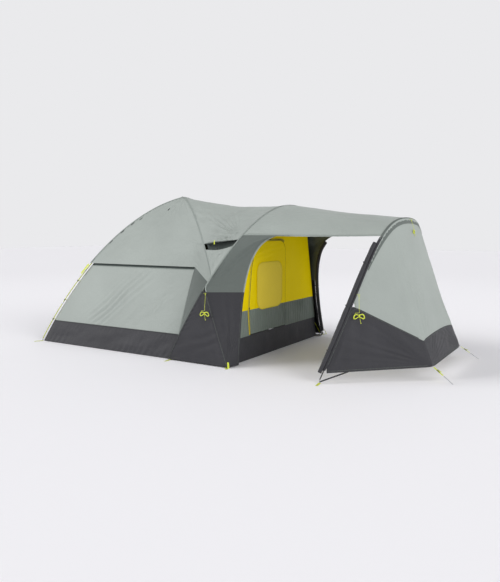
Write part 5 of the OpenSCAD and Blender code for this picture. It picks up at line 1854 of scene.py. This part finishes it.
@dataclass
class Webbing:
    """Yellow webbing: tabs with grommets at the feet, tensioners, guy loops and the stake straps."""

    lines: Lines = LINES
    width: float = 0.025

    def build(self) -> None:
        """Builds all the webbing."""
        self.tabs()
        self.straps()
        self.guy_eyes()
        for tag, side in SIDES:
            self.stake_strap(tag, -side.value)

    def straps(self) -> None:
        """Builds the eave's tensioners, the ties on the bare legs and the straps at the hems."""
        t = self.lines
        straps, black = Bag(), Bag()
        for sy in (-1, 1):
            u = np.linspace(float(t.leg_u(1.03)), float(t.leg_u(0.905)), 14)
            outwards = np.array([-0.35, sy * 0.9, 0.25])
            straps.strip(t.leg_point(u, -1, sy, -0.008), outwards, 1.6 * self.width, 0.0026)
            for z in (0.30, 0.56, 0.82):
                pole = t.leg_point(t.leg_u(z), -1, sy, 0.018)
                r = float(t.leg_r(z)) - 0.046
                wall = np.array([-r * t.leg_x, sy * r * t.leg_y, z - 0.004])
                tie = lerp(pole, wall, np.linspace(-0.15, 1.0, 6))
                straps.strip(tie, np.array([0.2, sy * 0.3, 1.0]), 0.014, 0.002)
            hem = t.end_hem(np.array(0.20 if sy < 0 else 2.80)) + [0, 0, -0.004]
            heel = np.array([2.6414, sy * 1.2905, 0.014])
            black.strip(lerp(heel, hem, np.linspace(0, 1, 10)), np.array([0.1, sy * 0.6, 1.0]), 0.018, 0.0022)
            foot = np.array([t.floor_length / 2 + 0.012, sy * (t.floor_width / 2 + 0.018), 0.0])
            run = lerp(foot + [0.009, sy * 0.013, 0.07], foot + [0.03, sy * 0.036, 0.008], np.linspace(0, 1, 8))
            straps.strip(run, np.array([0.7, sy * 0.7, 0.4]), 0.8 * self.width, 0.0024)
        straps.piece("hem_webbing", WEBBING, TENT, slot="webbing", nodes=("hem_straps",))
        black.piece("hoop_foot_webbing", TAPE_DARK, TENT, slot="fly_dark")

    def guy_eyes(self) -> None:
        """Builds the small loops that the guylines are tied to."""
        t = self.lines
        loops = Bag()
        side = t.ridge(0.79) + [0.01, -0.026, 0]
        q = np.array(0.42)
        end = lerp(t.end_top(q), t.end_hem(q), 0.03) + [0.016, -0.03, 0]
        top = t.hoop_point(np.array(0.0)) + [0.046, 0, -0.012]
        a = np.linspace(-0.75 * math.pi, 0.75 * math.pi, 22)
        eye = np.stack([0.0068 * np.cos(a), 0 * a, 0.0068 * np.sin(a)], axis=1)
        tails = [np.array([[-0.022, 0, k * 0.0016], [-0.015, 0, k * 0.002]]) for k in (-1, 1)]
        for place in (side, side * [1, -1, 1], end, end * [1, -1, 1], top):
            loop = place + np.vstack([tails[0], eye, tails[1][::-1]])
            loops.strip(loop, np.gradient(loop, axis=0)[:, [2, 1, 0]] * [-1, 0, 1], 0.006, 0.0014)
        loops.piece("guy_webbing", WEBBING, TENT, slot="webbing", nodes=("guy_loops",))

    def tabs(self) -> None:
        """Builds the tabs that the pole tips stand on, each with its metal grommet."""
        webs, rings = Bag(), Bag()
        feet = [(-1.4975, -1.198), (1.4975, 1.198), (-1.4875, 1.190), (1.4875, -1.190), (0.7257, 1.2094),
                (0.7257, -1.2094), (2.6414, 1.2837), (2.6414, -1.2837)]
        for x, y in feet:
            turn = 0.15 if x > 2 else 0.6 if abs(x) > 1 else 0.02
            way = unit(np.array([math.copysign(turn, x), math.copysign(1, y), 0.0]))
            foot = np.array([x, y, 0.0017])
            run = np.linspace(-0.004, 0.112, 24)[:, None]
            wave = np.array([0, 0, 1.0]) * 0.0005 * np.sin(run * 70) ** 2
            webs.strip(foot + way * run + wave, np.array([0, 0, 1.0]), self.width, 0.0022)
            rings.ring(foot + way * 0.09 + [0, 0, 0.001], (0, 0, 1), 0.0075, 0.0016, 24)
        webs.piece("foot_webbing", WEBBING, TENT, slot="webbing", nodes=("corner_tabs",))
        rings.piece("grommets", STEEL, TENT, slot="peg_steel")

    def stake_strap(self, tag: str, sy: int) -> None:
        """Builds the strap from the end panel's corner to its peg, with its ladder buckle."""
        root = np.array([3.56437, sy * 0.613657, 0.137276])
        end = np.array([3.66183, sy * 0.636432, 0.07107])
        way = unit(end - root)
        flat = unit(np.cross(way, np.cross([0, 0, 1.0], way)))
        long = float(np.linalg.norm(end - root))
        run = np.linspace(0, long, 20)[:, None]
        strap, buckle = Bag(), Bag()
        strap.strip(root + way * run + flat * 0.0006 * np.sin(run * 60), flat, self.width, 0.0022)
        tail = np.linspace(0.05, 0.085, 12)[:, None]
        strap.strip(root + way * tail + flat * (0.003 + 0.35 * (tail - 0.05)), flat, 0.9 * self.width, 0.0018)
        body = f"stake_strap_{tag}"
        strap.piece(f"stake_webbing_{tag}", WEBBING, body, slot="webbing", nodes=(f"strap_{tag}",),
                    sharp_deg=40)
        side = unit(np.cross(flat, way))
        for at in (0.046, 0.060, 0.074):
            bar = root + way * at + flat * 0.0046 + np.outer(np.linspace(-0.016, 0.016, 5), side)
            buckle.rod(bar, 0.0026, 10)
        for k in (-1, 1):
            rail = root + flat * 0.0042 + side * 0.0145 * k + way * np.linspace(0.045, 0.075, 5)[:, None]
            buckle.rod(rail, 0.0024, 10)
        buckle.piece(f"stake_buckle_{tag}", ACETAL, body, slot="black_plastic")


@dataclass(frozen=True)
class Hardware:
    """The hard CAD nodes that show as they are, with the finish of each."""

    finishes: tuple[tuple[str, Finish], ...]

    def dress(self) -> None:
        """Gives every node its material."""
        for node, finish in self.finishes:
            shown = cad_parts[node]
            shown.data.materials.clear()
            shown.data.materials.append(finish.material())
            log.info("%s: %s", node, finish.name)


# ---- Seams, stitches and zip teeth ----


@dataclass(frozen=True)
class Repeat:
    """A small form repeated along lines with Geometry Nodes, such as a stitch or a zip tooth."""

    name: str
    finish: Finish
    pitch: float
    size: tuple[float, float, float]
    sides: int = 6

    def tree(self) -> bpy.types.GeometryNodeTree:
        """Makes the node tree that sets the form along every line.

        Returns:
            The tree, with the named inputs Geometry, Pitch, Length and Radius.
        """
        made = bpy.data.node_groups.new(self.name, "GeometryNodeTree")
        made.interface.new_socket("Geometry", in_out="INPUT", socket_type="NodeSocketGeometry")
        for name, value in (("Pitch", self.pitch), ("Length", self.size[0]), ("Radius", self.size[1])):
            socket = made.interface.new_socket(name, in_out="INPUT", socket_type="NodeSocketFloat")
            socket.default_value = value
        made.interface.new_socket("Geometry", in_out="OUTPUT", socket_type="NodeSocketGeometry")
        given = add(made, "NodeGroupInput")
        lines = add(made, "GeometryNodeMeshToCurve", links={"Mesh": given.outputs["Geometry"]})
        even = add(made, "GeometryNodeResampleCurve", {"mode": "LENGTH"},
                   {"Curve": lines.outputs[0], "Length": given.outputs["Pitch"]})
        ahead = add(made, "GeometryNodeInputTangent")
        turn = add(made, "FunctionNodeAlignRotationToVector", {"axis": "Z"}, {"Vector": ahead.outputs[0]})
        form = add(made, "GeometryNodeMeshCylinder", {"fill_type": "NGON"},
                   {"Radius": given.outputs["Radius"], "Depth": given.outputs["Length"]}, Vertices=self.sides)
        spread = add(made, "GeometryNodeInstanceOnPoints", None,
                     {"Points": even.outputs[0], "Instance": form.outputs["Mesh"], "Rotation": turn.outputs[0]})
        spread.inputs["Scale"].default_value = (1.0, self.size[2], 1.0)
        real = add(made, "GeometryNodeRealizeInstances", links={0: spread.outputs[0]})
        painted = add(made, "GeometryNodeSetMaterial", links={"Geometry": real.outputs[0]},
                      Material=self.finish.material())
        add(made, "NodeGroupOutput", links={"Geometry": painted.outputs[0]})
        return made

    def along(self, name: str, lines: Sequence[Array], body: str, slot: str) -> bpy.types.Object:
        """Repeats the form along lines and makes the result one mesh piece.

        Args:
            name: The piece's name.
            lines: The lines that it follows.
            body: The CAD body that it rides on.
            slot: Its material slot; not used.

        Returns:
            The piece.
        """
        start, edges, points = 0, [], []
        for line in lines:
            edges += [(start + k, start + k + 1) for k in range(len(line) - 1)]
            points += line.tolist()
            start += len(line)
        guide = bpy.data.meshes.new(f"{name}_guide")
        guide.from_pydata(points, edges, [])
        made = bpy.data.objects.new(name, guide)
        bpy.context.scene.collection.objects.link(made)
        step = made.modifiers.new("repeat", "NODES")
        step.node_group = self.tree()
        for socket in step.node_group.interface.items_tree:
            if socket.in_out == "INPUT" and socket.name == "Pitch":
                step[socket.identifier] = self.pitch
        bpy.context.view_layer.update()
        seen = made.evaluated_get(bpy.context.evaluated_depsgraph_get())
        mesh = bpy.data.meshes.new_from_object(seen)
        made.modifiers.remove(step)
        made.data = mesh
        bpy.data.meshes.remove(guide)
        mesh.shade_smooth()
        mesh.set_sharp_from_angle(angle=math.radians(40))
        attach(made, body)
        log.info("%s: %d faces", name, len(mesh.polygons))
        return made


STITCH = Repeat("lockstitch", THREAD, 0.014, (0.0095, 0.0011, 1.0), 6)
TOOTH = Repeat("zip_tooth", COIL, 0.0032, (0.0017, 0.0030, 1.0), 6)


@dataclass
class Seams:
    """Bindings over the seams, the thread that holds them and the door's zip."""

    panels: dict[str, Panel]
    inner: InnerTent
    lines: Lines = LINES

    def build(self) -> None:
        """Builds every binding, all the stitches and the zip."""
        light, grey, dark = Bag(), Bag(), Bag()
        rows: list[Array] = []
        for tag, _ in SIDES:
            roof, wall, corner, wing = f"roof_{tag}", f"side_wall_{tag}", f"corner_{tag}", f"wing_{tag}"
            for panel, edge, bag, width, lift in (
                    (roof, "left", light, 0.020, 0.003), (roof, "right", light, 0.020, 0.003),
                    (f"gusset_{tag}", "high", light, 0.018, 0.003), (wall, "high", light, 0.010, 0.001),
                    (wall, "low", dark, 0.014, 0.002), (wall, "right", light, 0.016, 0.004),
                    (corner, "right", dark, 0.018, 0.004), (corner, "left", dark, 0.014, 0.003),
                    (f"{wing}_lower", "right", dark, 0.016, 0.0015),
                    (f"{wing}_upper", "right", grey, 0.016, 0.0015),
                    (f"{wing}_upper", "left", grey, 0.014, 0.003)):
                self.bind(panel, edge, bag, width, lift, rows)
        for panel, edge, bag, width, lift in (
                ("roof_front", "high", light, 0.024, 0.004), ("awning_roof", "left", grey, 0.018, 0.0015),
                ("awning_roof", "right", grey, 0.018, 0.0015), ("end_panel_upper", "left", grey, 0.014, 0.001),
                ("end_panel_upper", "right", grey, 0.014, 0.001),
                ("end_panel_lower", "low", dark, 0.022, 0.001),
                ("end_panel_lower", "high", dark, 0.014, 0.002)):
            self.bind(panel, edge, bag, width, lift, rows)
        sleeve = self.panels["hoop_sleeve"]
        for at in (3, -4):
            rows.append(sleeve.grid[:, at] + sleeve.normal[:, at] * 0.0015)
        awning = self.panels["awning_roof"]
        for at in (2, -3):
            rows.append(awning.grid[at, 3:-3] + awning.normal[at, 3:-3] * 0.001)
        light.piece("light_bindings", TAPE_GREY, TENT, slot="fly_light")
        grey.piece("grey_bindings", TAPE_GREY, TENT, slot="fly_mid")
        dark.piece("dark_bindings", TAPE_DARK, TENT, slot="fly_dark")
        STITCH.along("seam_stitches", rows, TENT, "fly_light")
        self.dashes()
        self.zip()

    def bind(self, panel: str, edge: str, bag: Bag, width: float, lift: float, rows: list[Array]) -> None:
        """Lays a binding over a panel's edge, with a row of stitches along its inner side.

        Args:
            panel: The panel's name.
            edge: Which edge.
            bag: Gathers the bindings of one colour.
            width: The binding's width.
            lift: How far it stands off the panel.
            rows: Gathers the rows of stitches.
        """
        cloth = self.panels[panel]
        line, normal = cloth.edge(edge)
        grid = cloth.grid
        inside = {"left": grid[1], "right": grid[-2], "low": grid[:, 1], "high": grid[:, -2]}[edge]
        across = unit(inside - line)
        padded = np.pad(line, ((3, 3), (0, 0)), mode="edge")
        smooth = np.stack([np.convolve(column, np.ones(7) / 7, "valid") for column in padded.T], axis=1)
        smooth[:3], smooth[-3:] = line[:3], line[-3:]
        mid = smooth + normal * lift + across * 0.2 * width
        bag.strip(mid, normal, width, 0.0016)
        rows.append((mid + across * 0.34 * width + normal * 0.0010)[1:-1])

    def dashes(self) -> None:
        """Adds the black tabs that tie the fly to the rear pole."""
        bag = Bag()
        for tag, side in SIDES:
            roof = self.panels[f"roof_{tag}"]
            grid, normal = roof.grid[:: side.value], roof.normal[:: side.value]
            for i, j in ((1, 1), (2, 17), (3, 27), (4, 36), (9, 42), (60, 56)):
                line = grid[i, j : j + 4] + 0.002 * normal[i, j : j + 4]
                bag.strip(spaced(line, 8), normal[i, j], 0.012, 0.0022)
        bag.piece("pole_tabs", TAPE_DARK, TENT, slot="fly_dark")

    def round_door(self, grow: float, reach: float, lift: float) -> Array:
        """A line round the door that stops short of its hinge.

        Args:
            grow: How far outside the door it runs.
            reach: How far across it starts, towards the hinge.
            lift: How far it stands off the wall.

        Returns:
            Its points.
        """
        path = self.inner.outline(grow, 260)
        path = path[path[:, 0] < reach]
        return np.column_stack([np.full(len(path), self.lines.wall_x + lift), path])

    def zip(self) -> None:
        """Builds the zip's tape and its teeth round the door."""
        line = self.round_door(0.0145, 0.09, 0.0052)
        tape, pipe = Bag(), Bag()
        tape.strip(line, np.array([1.0, 0, 0]), 0.022, 0.0014)
        tape.piece("zip_tape", TAPE_YELLOW, TENT, slot="zip_coil", nodes=("door_zip",))
        pipe.rod(self.round_door(0.030, 0.11, 0.0045), 0.0028, 10)
        pipe.piece("door_piping", TAPE_YELLOW, TENT, slot="wall_yellow")
        TOOTH.along("zip_teeth", [line + [0.0016, 0, 0]], TENT, "zip_coil")


# ---- The set, and the whole ----


@dataclass(frozen=True)
class Lamp:
    """A wide and far soft box that looks at a point and lights everything alike."""

    name: str
    place: tuple[float, float, float]
    target: tuple[float, float, float]
    power: float
    spread_deg: float = 40.0

    def make(self) -> None:
        """Adds the light."""
        data = bpy.data.lights.new(self.name, "SUN")
        data.energy = self.power
        data.angle = math.radians(self.spread_deg)
        made = bpy.data.objects.new(self.name, data)
        made.location = self.place
        aim = Vector(self.target) - Vector(self.place)
        made.rotation_euler = aim.to_track_quat("-Z", "Y").to_euler()
        bpy.context.scene.collection.objects.link(made)


@dataclass(frozen=True)
class FloorFinish(Finish):
    """Painted studio floor, drawn a little darker with distance as painted shade, so that it meets the
    surround.
    """

    # Brightness of the painted shade far from the tent, as a share of the floor's colour
    far: float = 0.94
    edge: tuple[float, float] = (5.0, 16.0)

    def weather(self, tree: bpy.types.NodeTree, shader: bpy.types.Node) -> None:
        """Fades the floor darker between the two distances from the origin, as painted shade."""
        place = add(tree, "ShaderNodeTexCoord").outputs["Object"]
        away = add(tree, "ShaderNodeVectorMath", {"operation": "LENGTH"}, {0: place}).outputs["Value"]
        share = add(tree, "ShaderNodeMapRange", {"interpolation_type": "SMOOTHSTEP"}, {"Value": away},
                    From_Min=self.edge[0], From_Max=self.edge[1])
        self.shade(tree, shader, share.outputs[0], 1.0, self.far)
        shader.inputs["Specular IOR Level"].default_value = 0.1


@dataclass(frozen=True)
class Studio:
    """A pale floor and an even pale surround."""

    floor_hex: str = "#F4F3F6"
    world_hex: str = "#EAEAEC"
    world_strength: float = 1.0
    zenith_strength: float = 0.5
    lamps: tuple[Lamp, ...] = (
        Lamp("front_left", (-7.0, -4.5, 5.6), (0.3, 0.0, 0.9), 1.6, spread_deg=30.0),
        Lamp("front_right", (9.0, -1.6, 3.2), (2.2, 0.0, 0.8), 1.7, spread_deg=45.0),
    )

    def make(self) -> None:
        """Adds the floor, the surround and the lamps."""
        plain = FloorFinish("seamless_floor", self.floor_hex, 0.9)
        mesh = bpy.data.meshes.new("floor")
        mesh.from_pydata([(-40, -40, 0), (40, -40, 0), (40, 40, 0), (-40, 40, 0)], [], [(0, 1, 2, 3)])
        mesh.materials.append(plain.material())
        floor = bpy.data.objects.new("floor", mesh)
        floor.location.z = -0.0005
        bpy.context.scene.collection.objects.link(floor)
        floor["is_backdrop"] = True
        world = bpy.data.worlds.new("surround")
        world.use_nodes = True
        tree, sky = world.node_tree, world.node_tree.nodes["Background"]
        place = add(tree, "ShaderNodeTexCoord").outputs["Generated"]
        height = add(tree, "ShaderNodeSeparateXYZ", links={0: place}).outputs["Z"]
        share = add(tree, "ShaderNodeMapRange", {"interpolation_type": "SMOOTHSTEP"}, {"Value": height},
                    From_Min=0.34, From_Max=0.8, To_Min=self.world_strength, To_Max=self.zenith_strength)
        sky.inputs["Color"].default_value = linear(self.world_hex)
        tree.links.new(share.outputs[0], sky.inputs["Strength"])
        bpy.context.scene.world = world
        for lamp in self.lamps:
            lamp.make()
        bpy.context.scene.view_settings.view_transform = "Standard"


GUYLINES = (
    Guyline("guyline_side", "guy_side", "hank_side", (1.19025, -1.16358, 0.776),
            ((1.19025, -1.16358, 0.776), (1.19325, -1.17158, 0.750), (1.19825, -1.18358, 0.700),
             (1.20325, -1.19758, 0.650), (1.20625, -1.20758, 0.604)), 8.0),
    Guyline("guyline_end", "guy_end", "hank_end", (2.91006, -0.97468, 0.842),
            ((2.91006, -0.97468, 0.842), (2.91306, -0.97868, 0.811), (2.91806, -0.98668, 0.756),
             (2.92306, -0.99468, 0.706), (2.92506, -0.99868, 0.680)), 36.0),
    Guyline("guyline_top", "guy_top", "hank_top", (3.12402, 0.0, 1.590),
            ((3.12402, 0.0, 1.590), (3.13402, 0.0, 1.564), (3.14402, 0.001, 1.534), (3.15202, 0.002, 1.508),
             (3.15502, 0.002, 1.498)), 90.0, half_width=0.027, half_height=0.022, rounds=2.5, tail=0.05,
            hank_drop=0.025),
)

HARDWARE = Hardware((
    ("pole_ferrules", ALUMINIUM), ("pole_tips", ALUMINIUM), ("pole_clips", ACETAL), ("zip_slider", PAINTED),
    ("vent_struts_near", ACETAL), ("vent_struts_far", ACETAL), ("peg_near", STEEL), ("peg_far", STEEL),
    ("lantern_ring", ACETAL),
))


def main() -> None:
    """Builds the scene from the camera and the cords to the set."""
    logging.basicConfig(level=logging.INFO, format="%(name)s: %(message)s")
    Viewpoint().make()
    for guyline in GUYLINES:
        guyline.make(BRAID)
    cabin, roof, vents, awning, inner = Cabin(), Roof(), Vents(), Awning(), InnerTent()
    panels: dict[str, Panel] = {}
    for part in (cabin, roof, vents, awning, inner):
        part.build()
        panels |= part.panels
    PoleSet().build()
    Webbing().build()
    Seams(panels, inner).build()
    HARDWARE.dress()
    Studio().make()
    boxes = {"cad_box": CAD_BOX, "box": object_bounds()}
    {name: [list(map(float, corner)) for corner in box] for name, box in boxes.items()}


if __name__ == "__main__":
    main()
